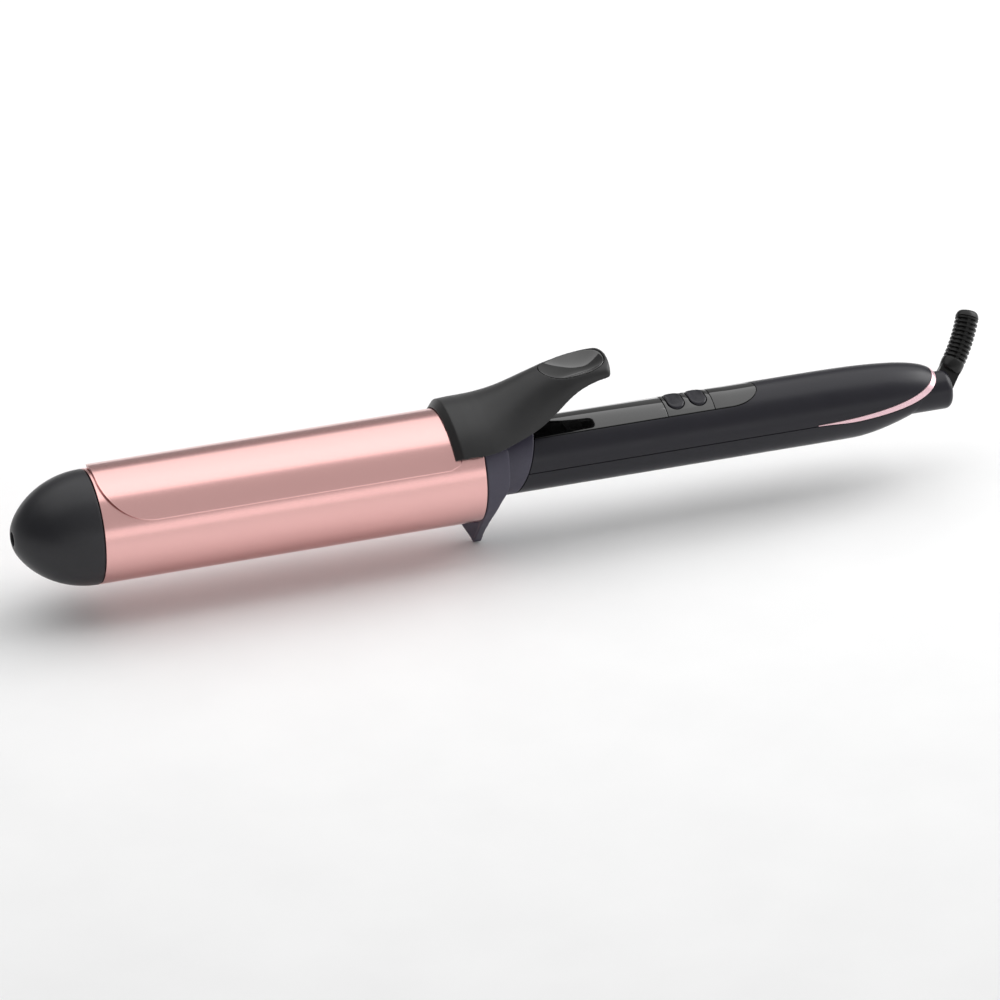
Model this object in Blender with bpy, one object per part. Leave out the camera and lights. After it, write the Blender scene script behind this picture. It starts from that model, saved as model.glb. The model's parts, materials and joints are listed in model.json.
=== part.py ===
"""Hair curling iron: heated barrel, sprung clamp, two-shell handle and a swivelling cord outlet.

Frame: metres, +Z up. The origin is the flat tip of the stand foot. The barrel's axis runs along X
above it, from the tip cap at -X to the cord outlet at +X. Lengths below are millimetres, measured
along X from the barrel's root, where the collar starts, and otherwise from the barrel's axis.
mesh_object() and pivot_empty() turn them into metres.
"""

import math

import bmesh
import bpy

MM = 0.001

# ---- driving dimensions ----
AXIS_HEIGHT = 28.8          # barrel axis above the stand foot's tip
FOOT_X = 1.6                # the stand foot's tip behind the barrel's root
GAP = 0.3                   # clearance between neighbouring pieces

BARREL_RADIUS = 19.0
BARREL_WALL = 1.2
BARREL_LENGTH = 129.2
TIP_LENGTH = 26.0
TIP_END_RADIUS = 3.0
TIP_HOLE_RADIUS = 2.3
SPIGOT_RADIUS = BARREL_RADIUS - BARREL_WALL - GAP

PLATE_INNER_RADIUS = BARREL_RADIUS + 0.35
PLATE_THICKNESS = 0.8
PLATE_HALF_ANGLE = 64.2     # degrees each side of the top line
PLATE_SQUARE_X = -111.0     # where the plate's rounded front reaches its full width

HANDLE_RADIUS = 11.95
HANDLE_WALL = 2.0
SEAM_HEIGHT = -0.7          # the seam between the shells
TAPER_START = 113.0         # where the handle's rear taper starts and ends
TAPER_END = 162.6
TRIM_START = 115.8          # the accent trim starts as a point on the seam
TRIM_TOP_END = 160.9
TRIM_BOTTOM_END = 162.3
TRIM_DEPTH = 1.6
CAVITY_END = 138.4
LOWER_REAR = 154.0          # where the lower shell's slanted rear end meets the axis

NECK_RADIUS = 11.9
COLLAR_REAR = 16.3          # where the collar's slanted rear face meets the axis
COLLAR_SLANT = 0.34         # its run along X for each unit of height
FOOT_TIP = (0.5, 2.8)       # where the stand foot's flat tip starts and ends
FOOT_HALF_WIDTH = 1.1

HINGE = (8.5, 0.0, 13.0)    # clamp hinge
HINGE_PIN_RADIUS = 1.5
RUNNING_GAP = 0.2
SPRING_X = 16.2             # middle of the clamp's return spring
SPRING_SEAT = 10.4

LEVER_BORE = PLATE_INNER_RADIUS + PLATE_THICKNESS + 0.2
LEVER_EDGE_ANGLE = 56.3     # degrees, where the lever's sides stop round the barrel
LEVER_WALL = 2.2
INLAY_SEAT = 28.1           # floor of the thumb recess

SCREW_PLACES = {"front": 30.0, "rear": 110.0}

STRIP_HALF_ANGLE = 37.0     # the gloss control strip
STRIP_DEPTH = 1.0
STRIP_END = 98.4
PANEL_FRONT = 66.1
PANEL_REAR = 82.4
BUTTON_PLACES = {"power_button": 70.2, "heat_button": 77.9}
BUTTON_SIZE = (5.6, 10.2)   # along X and across
BUTTON_RISE = 0.45

KNUCKLE_RADIUS = 6.5
KNUCKLE_HEIGHT = -1.0       # the swivel's axis lies a little below the handle's
KNUCKLE_START = 119.0
KNUCKLE_END = 166.7
BORE_RADIUS = KNUCKLE_RADIUS + 0.35
BOOT_HINGE_X = 163.7
BOOT_AZIMUTH = 38.0         # rest swivel of the knuckle about X, degrees from straight up towards +Y
BOOT_TILT = 52.0            # rest tilt of the strain relief's root from the handle's axis, degrees
BOOT_CURL = 17.0            # how far the strain relief curves along its length, degrees
BOOT_LENGTH = 28.8
SLOT_WIDTH = 4.8

ROUND = 40                  # segments round the barrel
HANDLE_SIDES = 32
MEDIUM = 20
SMALL = 14
TINY = 8
INLAY_SIDES = 28


# ---- scene and materials ----
def clear_scene():
    for thing in list(bpy.data.objects):
        bpy.data.objects.remove(thing, do_unlink=True)


def material(name, colour, roughness, metallic=0.0):
    made = bpy.data.materials.new(name)
    made.use_nodes = True
    shader = made.node_tree.nodes["Principled BSDF"]
    shader.inputs["Base Color"].default_value = (*colour, 1.0)
    shader.inputs["Roughness"].default_value = roughness
    shader.inputs["Metallic"].default_value = metallic
    made.diffuse_color = (*colour, 1.0)
    return made


def make_materials():
    return {
        "rose_gold": material("rose_gold", (0.74, 0.45, 0.42), 0.35, 0.85),
        "tip_plastic": material("tip_plastic", (0.035, 0.035, 0.040), 0.5),
        "collar_plastic": material("collar_plastic", (0.075, 0.072, 0.098), 0.55),
        "soft_black": material("soft_black", (0.035, 0.035, 0.037), 0.6),
        "satin_black": material("satin_black", (0.028, 0.027, 0.034), 0.38),
        "gloss_black": material("gloss_black", (0.012, 0.012, 0.012), 0.12),
        "rubber": material("rubber", (0.012, 0.012, 0.012), 0.45),
        "accent_metal": material("accent_metal", (0.83, 0.56, 0.58), 0.3, 0.8),
        "steel": material("steel", (0.55, 0.55, 0.56), 0.3, 1.0),
        "brass": material("brass", (0.72, 0.52, 0.22), 0.3, 1.0),
        "aluminium": material("aluminium", (0.72, 0.72, 0.74), 0.4, 1.0),
        "ceramic": material("ceramic", (0.85, 0.84, 0.80), 0.6),
        "board_green": material("board_green", (0.03, 0.20, 0.07), 0.45),
        "wire_red": material("wire_red", (0.45, 0.03, 0.03), 0.5),
        "wire_blue": material("wire_blue", (0.03, 0.08, 0.40), 0.5),
        "led_lens": material("led_lens", (0.80, 0.10, 0.06), 0.2),
        "component_black": material("component_black", (0.03, 0.03, 0.03), 0.5),
        "component_yellow": material("component_yellow", (0.75, 0.55, 0.06), 0.4),
    }


# ---- placing ----
def pivot_empty(name, parent, place, turn=(0.0, 0.0, 0.0)):
    """An empty on a joint's axis, placed in its parent's space."""
    empty = bpy.data.objects.new(name, None)
    bpy.context.scene.collection.objects.link(empty)
    empty.parent = parent
    empty.location = [value * MM for value in place]
    empty.rotation_euler = [math.radians(angle) for angle in turn]
    return empty


def mesh_object(name, verts, faces, pivot, skin=None, offset=(0.0, 0.0, 0.0), sharp=35.0):
    """A smooth-shaded mesh object under a pivot. offset is the pivot's place in the points' own space."""
    mesh = bpy.data.meshes.new(name)
    points = [tuple((value - shift) * MM for value, shift in zip(point, offset)) for point in verts]
    mesh.from_pydata(points, [], faces)
    mesh.update()
    if skin:
        mesh.materials.append(skin)
    mesh.shade_smooth()
    mesh.set_sharp_from_angle(angle=math.radians(sharp))
    thing = bpy.data.objects.new(name, mesh)
    bpy.context.scene.collection.objects.link(thing)
    thing.parent = pivot
    return thing


def combine(target, tool, operation):
    """target cut by, or joined with, a hidden tool object."""
    modifier = target.modifiers.new(tool.name, "BOOLEAN")
    modifier.operation = operation
    modifier.object = tool
    modifier.solver = "EXACT"
    tool.hide_render = True
    tool.display_type = "WIRE"
    return target


def cut(target, *tools):
    for tool in tools:
        combine(target, tool, "DIFFERENCE")
    return target


def join(target, *tools):
    for tool in tools:
        combine(target, tool, "UNION")
    return target


# ---- mesh shapes: each returns (verts, faces) ----
def loft(rings, wrap=False):
    """A skin through rings of equal length. It closes on itself if wrap, and has end caps if not."""
    count = len(rings[0])
    verts = [point for ring in rings for point in ring]
    faces = []
    steps = len(rings) if wrap else len(rings) - 1
    for i in range(steps):
        here = i * count
        there = ((i + 1) % len(rings)) * count
        for j in range(count):
            k = (j + 1) % count
            faces.append((here + j, here + k, there + k, there + j))
    if not wrap:
        faces.append(tuple(reversed(range(count))))
        faces.append(tuple(len(verts) - count + j for j in range(count)))
    return outward(verts, faces)


def outward(verts, faces):
    """Turns every face over if the closed shape has a negative volume."""
    volume = 0.0
    for face in faces:
        a = verts[face[0]]
        for j in range(1, len(face) - 1):
            b, c = verts[face[j]], verts[face[j + 1]]
            volume += a[0] * (b[1] * c[2] - b[2] * c[1])
            volume += a[1] * (b[2] * c[0] - b[0] * c[2])
            volume += a[2] * (b[0] * c[1] - b[1] * c[0])
    if volume < 0:
        faces = [tuple(reversed(face)) for face in faces]
    return verts, faces


def circle_x(x, radius, segments, centre=(0.0, 0.0)):
    """A ring of points round the X direction."""
    turns = [2 * math.pi * j / segments for j in range(segments)]
    return [(x, centre[0] + radius * math.sin(t), centre[1] + radius * math.cos(t)) for t in turns]


def turned(profile, segments, hollow=False, centre=(0.0, 0.0)):
    """A solid turned about the X direction. A hollow profile is a closed loop of (x, radius)."""
    return loft([circle_x(x, r, segments, centre) for x, r in profile], wrap=hollow)


def tube_x(x0, x1, outer, inner, segments):
    return turned([(x0, outer), (x1, outer), (x1, inner), (x0, inner)], segments, hollow=True)


def rod(axis, start, length, radius, segments, taper=1.0):
    """A cylinder from start along +X, +Y or +Z."""
    rings = []
    for step, scale in ((0.0, 1.0), (length, taper)):
        ring = []
        for j in range(segments):
            t = 2 * math.pi * j / segments
            u, v = radius * scale * math.cos(t), radius * scale * math.sin(t)
            along = {"X": (step, u, v), "Y": (v, step, u), "Z": (u, v, step)}[axis]
            ring.append(tuple(s + a for s, a in zip(start, along)))
        rings.append(ring)
    return loft(rings)


def stepped_rod_z(x, y, levels, segments):
    """A turned post along Z through (height, radius) levels."""
    rings = []
    for height, radius in levels:
        turns = [2 * math.pi * j / segments for j in range(segments)]
        rings.append([(x + radius * math.cos(t), y + radius * math.sin(t), height) for t in turns])
    return loft(rings)


def hull(points):
    """The convex hull of a few points."""
    shape = bmesh.new()
    for point in points:
        shape.verts.new(point)
    bmesh.ops.convex_hull(shape, input=shape.verts)
    shape.verts.index_update()
    verts = [tuple(vert.co) for vert in shape.verts]
    faces = [tuple(vert.index for vert in face.verts) for face in shape.faces]
    shape.free()
    return outward(verts, faces)


def block(low, high):
    corners = [(low[0], low[1]), (high[0], low[1]), (high[0], high[1]), (low[0], high[1])]
    return loft([[(x, y, z) for x, y in corners] for z in (low[2], high[2])])


def prism_x(outline, x0, x1):
    """An outline of (y, z) points, extruded along the barrel."""
    return loft([[(x, y, z) for y, z in outline] for x in (x0, x1)])


def prism_y(outline, y0, y1):
    """An outline of (x, z) points, extruded across."""
    return loft([[(x, y, z) for x, z in outline] for y in (y0, y1)])


def prism_z(outline, z0, z1):
    """An outline of (x, y) points, extruded upwards."""
    return loft([[(x, y, z) for x, y in outline] for z in (z0, z1)])


def wire(path, radius, segments=6):
    """A round wire through points that run mostly along X."""
    return loft([circle_x(x, radius, segments, (y, z)) for x, y, z in path])


def arc_plate(stations, inner, outer, columns):
    """A curved plate on the barrel's axis. stations are (x, half angle in degrees)."""
    rings = []
    for x, half in stations:
        turns = [math.radians(half * (2 * j / columns - 1)) for j in range(columns + 1)]
        over = [(x, outer * math.sin(t), outer * math.cos(t)) for t in turns]
        under = [(x, inner * math.sin(t), inner * math.cos(t)) for t in reversed(turns)]
        rings.append(over + under)
    return loft(rings)


def rounded_end(x_end, x_full, half, first, steps):
    """Stations from a narrow end to the full half angle, along a quarter ellipse."""
    stations = []
    for i in range(steps + 1):
        turn = math.pi / 2 * i / steps
        x = x_end + (x_full - x_end) * (1 - math.cos(turn))
        stations.append((x, first + (half - first) * math.sin(turn)))
    return stations


def helix_tube(centre, radius, wire_radius, z0, z1, turns, per_turn=10, sides=5):
    """A coil about a vertical line, made of rings that follow the coil."""
    rings = []
    steps = int(turns * per_turn)
    for i in range(steps + 1):
        angle = 2 * math.pi * i / per_turn
        height = z0 + (z1 - z0) * i / steps
        ring = []
        for j in range(sides):
            t = 2 * math.pi * j / sides
            reach = radius + wire_radius * math.cos(t)
            x = centre[0] + reach * math.cos(angle)
            y = centre[1] + reach * math.sin(angle)
            ring.append((x, y, height + wire_radius * math.sin(t)))
        rings.append(ring)
    return loft(rings)


def spread(start, end, count):
    return [start + (end - start) * i / (count - 1) for i in range(count)]


def smooth_step(value, start, end):
    t = min(1.0, max(0.0, (value - start) / (end - start)))
    return t * t * (3 - 2 * t)


def spline(rows, x):
    """Catmull-Rom interpolation of rows (x, a, b, ...) at x."""
    last = len(rows) - 1
    i = max(0, min(last - 1, sum(1 for row in rows[1:] if row[0] <= x)))
    before, here, there, after = (rows[max(0, min(last, k))] for k in (i - 1, i, i + 1, i + 2))
    width = there[0] - here[0]
    t = (x - here[0]) / width
    values = []
    for k in range(1, len(here)):
        m0 = (there[k] - before[k]) / (there[0] - before[0]) * width
        m1 = (after[k] - here[k]) / (after[0] - here[0]) * width
        h00, h10 = 2 * t**3 - 3 * t**2 + 1, t**3 - 2 * t**2 + t
        h01, h11 = 3 * t**2 - 2 * t**3, t**3 - t**2
        values.append(h00 * here[k] + h10 * m0 + h01 * there[k] + h11 * m1)
    return values


# ---- the handle's outline ----
def handle_top(x):
    """Height of the handle's top line, and half its width, at x."""
    taper = max(0.0, (x - TAPER_START) / (TAPER_END - TAPER_START))
    return HANDLE_RADIUS * (1 - taper**2.8) ** 0.24


def handle_bottom(x):
    return HANDLE_RADIUS - 4.0 * (max(0.0, x - 130.5) / 17.0) ** 1.8


def rising_edge(x, base, end, rise, power):
    """A line that leaves the seam level, curves up towards the rear, and stands upright at its end."""
    t = min(1.0, max(0.0, (x - TRIM_START) / (end - TRIM_START)))
    return base + rise * (1 - math.sqrt(1 - t**power))


def trim_top(x):
    return rising_edge(x, SEAM_HEIGHT + 0.35, TRIM_TOP_END, 9.5, 2.0)


def trim_bottom(x):
    """The lower edge of the accent trim, and the seam in front of it."""
    base = SEAM_HEIGHT - smooth_step(x, TRIM_START, 132.0)
    return rising_edge(x, base, TRIM_BOTTOM_END, 10.0, 2.6)


def handle_ring(x, inset, phase):
    ring = []
    for j in range(HANDLE_SIDES):
        t = 2 * math.pi * (j + phase) / HANDLE_SIDES
        width = handle_top(x) - inset
        height = width if math.cos(t) > 0 else handle_bottom(x) - inset
        ring.append((x, width * math.sin(t), height * math.cos(t)))
    return ring


def handle_solid(xs, inset=0.0, phase=0.0):
    return loft([handle_ring(x, inset, phase) for x in xs])


def collar_rear(z, extra=0.0):
    return COLLAR_REAR + COLLAR_SLANT * z + extra


def slanted_block(x_shift, x_far):
    """A block behind, or in front of, the collar's slanted rear plane."""
    reach = 40.0
    outline = [(collar_rear(-reach, x_shift), -reach), (collar_rear(reach, x_shift), reach)]
    outline += [(x_far, reach), (x_far, -reach)]
    return prism_y(outline, -reach, reach)


# ---- barrel ----
def build_barrel(axis, skins):
    shape = tube_x(-BARREL_LENGTH + GAP / 2, -GAP / 2, BARREL_RADIUS, BARREL_RADIUS - BARREL_WALL, ROUND)
    mesh_object("barrel_tube", *shape, axis, skins["rose_gold"])

    seam = -BARREL_LENGTH - GAP / 2
    steps = [math.sin(math.pi / 2 * t) for t in spread(0.0, 1.0, 8)]
    grow = BARREL_RADIUS - TIP_END_RADIUS
    outside = [(seam - TIP_LENGTH * t, TIP_END_RADIUS + grow * (1 - t**2.1) ** 0.7) for t in steps]
    end = seam - TIP_LENGTH
    seat = end + 7.0
    wall = 2.4
    inside = [(x + wall, r - wall) for x, r in outside[1:4]]
    skirt = seam + 8.0
    boss = seam + 5.0
    profile = outside + [(end, TIP_HOLE_RADIUS), (seat, TIP_HOLE_RADIUS), (seat, 1.5)]
    profile += [(boss, 1.5), (boss, 4.5), (inside[-1][0], 4.5)] + list(reversed(inside))
    profile += [(skirt, inside[0][1]), (skirt, SPIGOT_RADIUS), (seam, SPIGOT_RADIUS)]
    mesh_object("tip_cap", *turned(profile, ROUND, hollow=True), axis, skins["tip_plastic"])

    head = seat - GAP
    shape = turned([(head - 1.6, 1.9), (head, 1.9), (head, 1.1), (seam + 13.0, 1.1)], SMALL)
    mesh_object("tip_screw", *shape, axis, skins["steel"])
    hub = seam + 9.0
    profile = [(hub, 4.0), (hub + 1.5, 4.0), (hub + 1.5, SPIGOT_RADIUS), (hub + 3.5, SPIGOT_RADIUS)]
    profile += [(hub + 3.5, 4.0), (hub + 6.0, 4.0), (hub + 6.0, 1.4), (hub, 1.4)]
    mesh_object("tip_bracket", *turned(profile, MEDIUM, hollow=True), axis, skins["steel"])

    profile = [(-9.0, SPIGOT_RADIUS), (-GAP / 2 - 0.1, SPIGOT_RADIUS), (-GAP / 2 - 0.1, 5.0), (-9.0, 5.0)]
    mesh_object("barrel_carrier", *turned(profile, MEDIUM, hollow=True), axis, skins["ceramic"])


def half_round(x0, x1, radius, wall, flat, side):
    """A hollow half-round bar: an arch over a flat wall at height flat. side is 1 above and -1 below."""
    outlines = []
    for r, level in ((radius, flat), (radius - wall, flat + wall)):
        edge = math.acos(level / r)
        turns = spread(-edge, edge, SMALL)
        outlines.append([(r * math.sin(t), side * r * math.cos(t)) for t in turns])
    rings = []
    for x, outline in ((x0, outlines[0]), (x1, outlines[0]), (x1, outlines[1]), (x0, outlines[1])):
        rings.append([(x, y, z) for y, z in outline])
    return loft(rings, wrap=True)


def build_heater(axis, skins):
    for name, side in (("heat_spreader_upper", 1), ("heat_spreader_lower", -1)):
        shape = half_round(-108.0, -14.0, SPIGOT_RADIUS - 0.1, 2.0, 2.4, side)
        mesh_object(name, *shape, axis, skins["aluminium"])
    mesh_object("heater_plate", *block((-100.0, -6.5, -2.1), (-24.0, 6.5, 2.1)), axis, skins["ceramic"])
    shape = rod("X", (-66.0, 9.5, 0.0), 7.0, 1.5, TINY)
    mesh_object("temperature_sensor", *shape, axis, skins["component_black"])
    shape = rod("X", (-66.0, -10.0, 0.0), 11.0, 1.9, TINY)
    mesh_object("thermal_fuse", *shape, axis, skins["ceramic"])
    for name, side, skin in (("heater_lead_live", -1, "wire_red"), ("heater_lead_neutral", 1, "wire_blue")):
        path = [(-23.6, 4.0, 0.0), (-12.0, 2.4, 0.0), (0.0, 2.2, 0.0), (22.0, 2.4, -1.0)]
        path += [(26.0, 4.6, 0.0), (30.0, 5.4, 1.0), (35.0, 5.0, 3.2), (39.6, 4.6, 3.6)]
        shape = wire([(x, side * y, z) for x, y, z in path], 0.8)
        mesh_object(name, *shape, axis, skins[skin])


# ---- collar with its stand foot ----
def ring_outline():
    """The collar's outline across the barrel: round, and drawn down to the foot's tip."""
    turns = [math.radians(angle) for angle in range(-126, 127, 9)]
    outline = [(BARREL_RADIUS * math.sin(t), BARREL_RADIUS * math.cos(t)) for t in turns]
    return outline + [(FOOT_HALF_WIDTH, -AXIS_HEIGHT), (-FOOT_HALF_WIDTH, -AXIS_HEIGHT)]


RING_REAR_ROWS = [  # height, and x of the ring's rear edge, which sweeps down into the foot
    (-32.0, 3.2), (-22.0, 2.8), (-11.6, 3.6), (-6.0, 5.0), (-1.5, 7.1), (4.0, 7.8), (22.0, 8.9),
]


def build_collar(axis, skins):
    front = GAP / 2
    collar = mesh_object("collar", *prism_x(ring_outline(), front, 12.0), axis, skins["collar_plastic"])
    curve = [(spline(RING_REAR_ROWS, z)[0], z) for z in spread(-32.0, 22.0, 22)]
    rear = prism_y(curve + [(40.0, 22.0), (40.0, -32.0)], -30.0, 30.0)
    cut(collar, mesh_object("ring_rear_tool", *rear, axis))

    tip = [(x, side * (FOOT_HALF_WIDTH - 0.2), -AXIS_HEIGHT) for x in FOOT_TIP for side in (-1, 1)]
    sides = [(x, side * 14.0, -10.5) for x in (0.2, 2.4) for side in (-1, 1)]
    ridges = [(-6.7, side * 1.2, -16.0) for side in (-1, 1)] + [(10.4, 0.0, -11.0), (2.0, 0.0, -6.0)]
    join(collar, mesh_object("foot_tool", *hull(tip + sides + ridges), axis))
    around_barrel = turned([(-30.0, BARREL_RADIUS + GAP), (front - 0.02, BARREL_RADIUS + GAP)], ROUND)
    cut(collar, mesh_object("barrel_room_tool", *around_barrel, axis))

    profile = [(1.5, 11.0), (3.0, NECK_RADIUS), (10.5, NECK_RADIUS), (24.0, NECK_RADIUS + 0.5)]
    join(collar, mesh_object("neck_tool", *turned(profile, HANDLE_SIDES), axis))
    turns = spread(math.pi / 2, -math.pi / 2, 7)
    arch = [(HINGE[0] + 3.9 * math.sin(t), HINGE[2] + 3.9 * math.cos(t)) for t in turns]
    bracket = prism_y(arch + [(2.2, 9.0), (HINGE[0] + 4.6, 6.0)], -7.2, 7.2)
    join(collar, mesh_object("hinge_bracket_tool", *bracket, axis))
    cut(collar, mesh_object("collar_rear_tool", *slanted_block(0.0, 60.0), axis))
    spigot = turned([(8.0, 9.3), (23.5, 9.3)], MEDIUM)
    join(collar, mesh_object("spigot_tool", *spigot, axis))
    cut(collar, mesh_object("lead_bore_tool", *turned([(-2.0, 5.5), (30.0, 5.5)], MEDIUM), axis))
    slot = block((HINGE[0] - 4.1, -3.4, 8.6), (HINGE[0] + 4.7, 3.4, 30.0))
    cut(collar, mesh_object("lug_slot_tool", *slot, axis))
    pin_hole = rod("Y", (HINGE[0], -30.0, HINGE[2]), 60.0, HINGE_PIN_RADIUS + RUNNING_GAP, SMALL)
    cut(collar, mesh_object("pin_hole_tool", *pin_hole, axis))
    seat = rod("Z", (SPRING_X, 0.0, SPRING_SEAT), 20.0, 2.65, SMALL)
    cut(collar, mesh_object("spring_seat_tool", *seat, axis))

    shape = rod("Y", (HINGE[0], -7.0, HINGE[2]), 14.0, HINGE_PIN_RADIUS, SMALL)
    mesh_object("clamp_pivot_pin", *shape, axis, skins["steel"])


# ---- clamp ----
def plate_stations(growth=0.0):
    front = rounded_end(-BARREL_LENGTH + 1.1, PLATE_SQUARE_X, PLATE_HALF_ANGLE, 14.0, 7)
    stations = [(x, half + growth) for x, half in front]
    stations += [(-60.0, PLATE_HALF_ANGLE), (-12.1, PLATE_HALF_ANGLE), (-8.8, 60.5), (-7.4, 53.0)]
    return stations + [(1.5, 53.0)]


LEVER_ROWS = [  # x, top height, half width and height of the lower edge
    (-4.0, 23.3, 19.2, 12.8),
    (2.6, 23.6, 18.9, 12.8),
    (10.5, 25.8, 16.3, 13.8),
    (19.6, 29.6, 13.2, 16.0),
    (26.7, 32.0, 11.2, 20.0),
    (33.7, 32.9, 9.9, 25.2),
    (39.7, 33.1, 9.3, 27.7),
    (46.8, 32.8, 9.0, 29.1),
]


def lever_arch(x):
    """Height of the arch's middle, its rise, half its full width, its lower edges' turn and its power."""
    top, half_width, edge = spline(LEVER_ROWS, x)
    half_width *= (1 - (max(0.0, x - 43.5) / 3.1) ** 4) ** 0.33
    centre = edge * smooth_step(x, 0.0, 34.0)
    rise = top - centre
    fall = min(1.0, (edge - centre) / rise)
    power = 2.0 / (2.0 + 0.5 * smooth_step(x, 24.0, 40.0))
    return centre, rise, half_width / math.sqrt(1 - fall**2), math.acos(fall), power


def lever_ring(x, inset, count):
    """Half of a rounded arch over the barrel, from one lower edge to the other."""
    centre, rise, reach, edge_turn, power = lever_arch(x)
    turns = spread(-edge_turn, edge_turn, count)
    ring = []
    for t in turns:
        across = math.copysign(abs(math.sin(t)) ** power, t) * (reach - inset)
        ring.append((x, across, centre + math.cos(t) ** power * (rise - inset)))
    return ring


def lever_front(radius, x_edge, slant, count):
    """A ring of the lever's bevelled front, which leans forward a little towards its top."""
    edge = math.radians(LEVER_EDGE_ANGLE)
    low = radius * math.cos(edge)
    ring = []
    for t in spread(-edge, edge, count):
        height = radius * math.cos(t)
        ring.append((x_edge - slant * (height - low), radius * math.sin(t), height))
    return ring


def lever_height(x, y):
    """Height of the lever's outside at a place in plan."""
    centre, rise, reach, _, power = lever_arch(x)
    across = min(1.0, abs(y) / reach) ** (1 / power)
    return centre + rise * math.sqrt(1 - across**2) ** power


def lever_cavity():
    """The hollow under the lever, whose roof comes down to the thumb rest's underside."""
    rings = []
    for x in spread(1.8, 33.0, 13):
        ring = lever_ring(x, LEVER_WALL, 17)
        roof = 29.0 - 3.2 * smooth_step(x, 15.0, 26.0)
        floor = min(point[2] for point in ring) - 8.0
        shaped = [(x, y, min(z, roof)) for x, y, z in ring]
        skirt = [(x, shaped[-1][1], floor), (x, shaped[0][1], floor)]
        rings.append(shaped + skirt)
    return loft(rings)


def inlay_outline(inset):
    """Plan of the thumb recess: a leaf that is longer in front of its widest place than behind."""
    middle, front, rear, half = 36.0, 12.5 - inset, 9.8 - inset, 7.9 - inset
    outline = []
    for j in range(INLAY_SIDES):
        t = 2 * math.pi * j / INLAY_SIDES
        reach, square = (rear, 0.8) if math.cos(t) > 0 else (front, 0.95)
        x = middle + math.copysign(abs(math.cos(t)) ** square, math.cos(t)) * reach
        y = math.copysign(abs(math.sin(t)) ** square, math.sin(t)) * half
        outline.append((x, y))
    return outline


def dished(outline, bottom, floor, sink):
    """A pad whose rim lies a little below the lever's outside and whose top is scooped out."""
    middle = sum(x for x, y in outline) / len(outline)
    rims = [lever_height(x, y) - sink for x, y in outline]
    rings = [[(x, y, bottom) for x, y in outline]]
    for scale in (1.0, 0.82, 0.62, 0.4, 0.15):
        ring = []
        for (x, y), rim in zip(outline, rims):
            ring.append((middle + (x - middle) * scale, y * scale, floor + (rim - floor) * scale**2.2))
        rings.append(ring)
    return loft(rings)


def build_clamp(axis, skins):
    hinge = pivot_empty("clamp_hinge", axis, HINGE)

    def piece(name, shape, skin=None):
        return mesh_object(name, *shape, hinge, skin and skins[skin], offset=HINGE)

    outer = PLATE_INNER_RADIUS + PLATE_THICKNESS
    plate = piece("clamp_plate", arc_plate(plate_stations(), PLATE_INNER_RADIUS, outer, 14), "rose_gold")

    count = 23
    rings = [lever_front(LEVER_BORE + 0.3, -10.2, 0.07, count), lever_front(23.0, -8.0, 0.07, count)]
    xs = [-4.0, -0.6] + spread(2.6, 40.6, 13) + [43.5, 45.3, 46.1, 46.5]
    rings += [lever_ring(x, 0.0, count) for x in xs]
    lever = piece("clamp_lever", loft(rings), "soft_black")
    cut(lever, piece("plate_room_tool", turned([(-20.0, LEVER_BORE), (2.6, LEVER_BORE)], ROUND)))
    cut(lever, piece("lever_cavity_tool", lever_cavity()))
    turns = spread(-math.pi / 2, math.pi / 2, 9)
    outline = [(HINGE[0] + 3.1 * math.sin(t), HINGE[2] - 3.1 * math.cos(t)) for t in turns]
    lug = prism_y(outline + [(HINGE[0] + 2.5, 24.8), (HINGE[0] - 3.1, 23.0)], -2.9, 2.9)
    join(lever, piece("lug_tool", lug))
    bore = rod("Y", (HINGE[0], -6.0, HINGE[2]), 12.0, HINGE_PIN_RADIUS + RUNNING_GAP, SMALL)
    cut(lever, piece("lug_bore_tool", bore))
    cut(lever, piece("recess_tool", prism_z(inlay_outline(0.0), INLAY_SEAT, 36.0)))
    inlay = dished(inlay_outline(0.25), INLAY_SEAT + 0.2, INLAY_SEAT + 1.1, 0.25)
    piece("thumb_inlay", inlay, "gloss_black")

    for name, side in (("clamp_rivet_left", -1), ("clamp_rivet_right", 1)):
        shaft = rod("Z", (-2.5, side * 7.0, 18.5), 2.4, 1.1, TINY)
        piece(name, shaft, "steel")
        room = rod("Z", (-2.5, side * 7.0, 14.0), 7.2, 1.35, TINY)
        cut(lever, piece(name + "_lever_tool", room))
        cut(plate, piece(name + "_plate_tool", room))

    coil = helix_tube((SPRING_X, 0.0), 2.0, 0.4, SPRING_SEAT + 0.7, SPRING_SEAT + 14.0, 6)
    mesh_object("clamp_spring", *coil, axis, skins["steel"])


# ---- handle ----
def beside_line(line, shift, side):
    """A block above the line z = line(x) + shift if side is 1, or below it if side is -1."""
    turns = spread(0.35, math.pi / 2, 13)
    reach = TRIM_BOTTOM_END - TRIM_START
    xs = [0.0, 60.0, TRIM_START] + [TRIM_START + reach * math.sin(t) for t in turns]
    points = [(x, line(x) + shift) for x in xs]
    last = points[-1]
    far = 30.0 * side
    return prism_y([(xs[0], far)] + points + [(last[0] + 6.0, last[1]), (last[0] + 6.0, far)], -30.0, 30.0)


def button_outline(centre, growth):
    half_x, half_y = BUTTON_SIZE[0] / 2 + growth, BUTTON_SIZE[1] / 2 + growth
    straight = half_y - half_x
    outline = []
    for j in range(20):
        t = 2 * math.pi * (j + 0.5) / 20
        y = half_x * math.sin(t) + math.copysign(straight, math.sin(t))
        outline.append((centre + half_x * math.cos(t), y))
    return outline


def handle_stations(start, end):
    """Stations along the handle, closer together where it rounds off."""
    reach = TAPER_END - TAPER_START
    xs = [start, 60.0] + [TAPER_START + reach * math.sin(t) for t in spread(0.0, 1.49, 12)]
    return [x for x in xs if x < end - 0.4] + [end]


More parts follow.
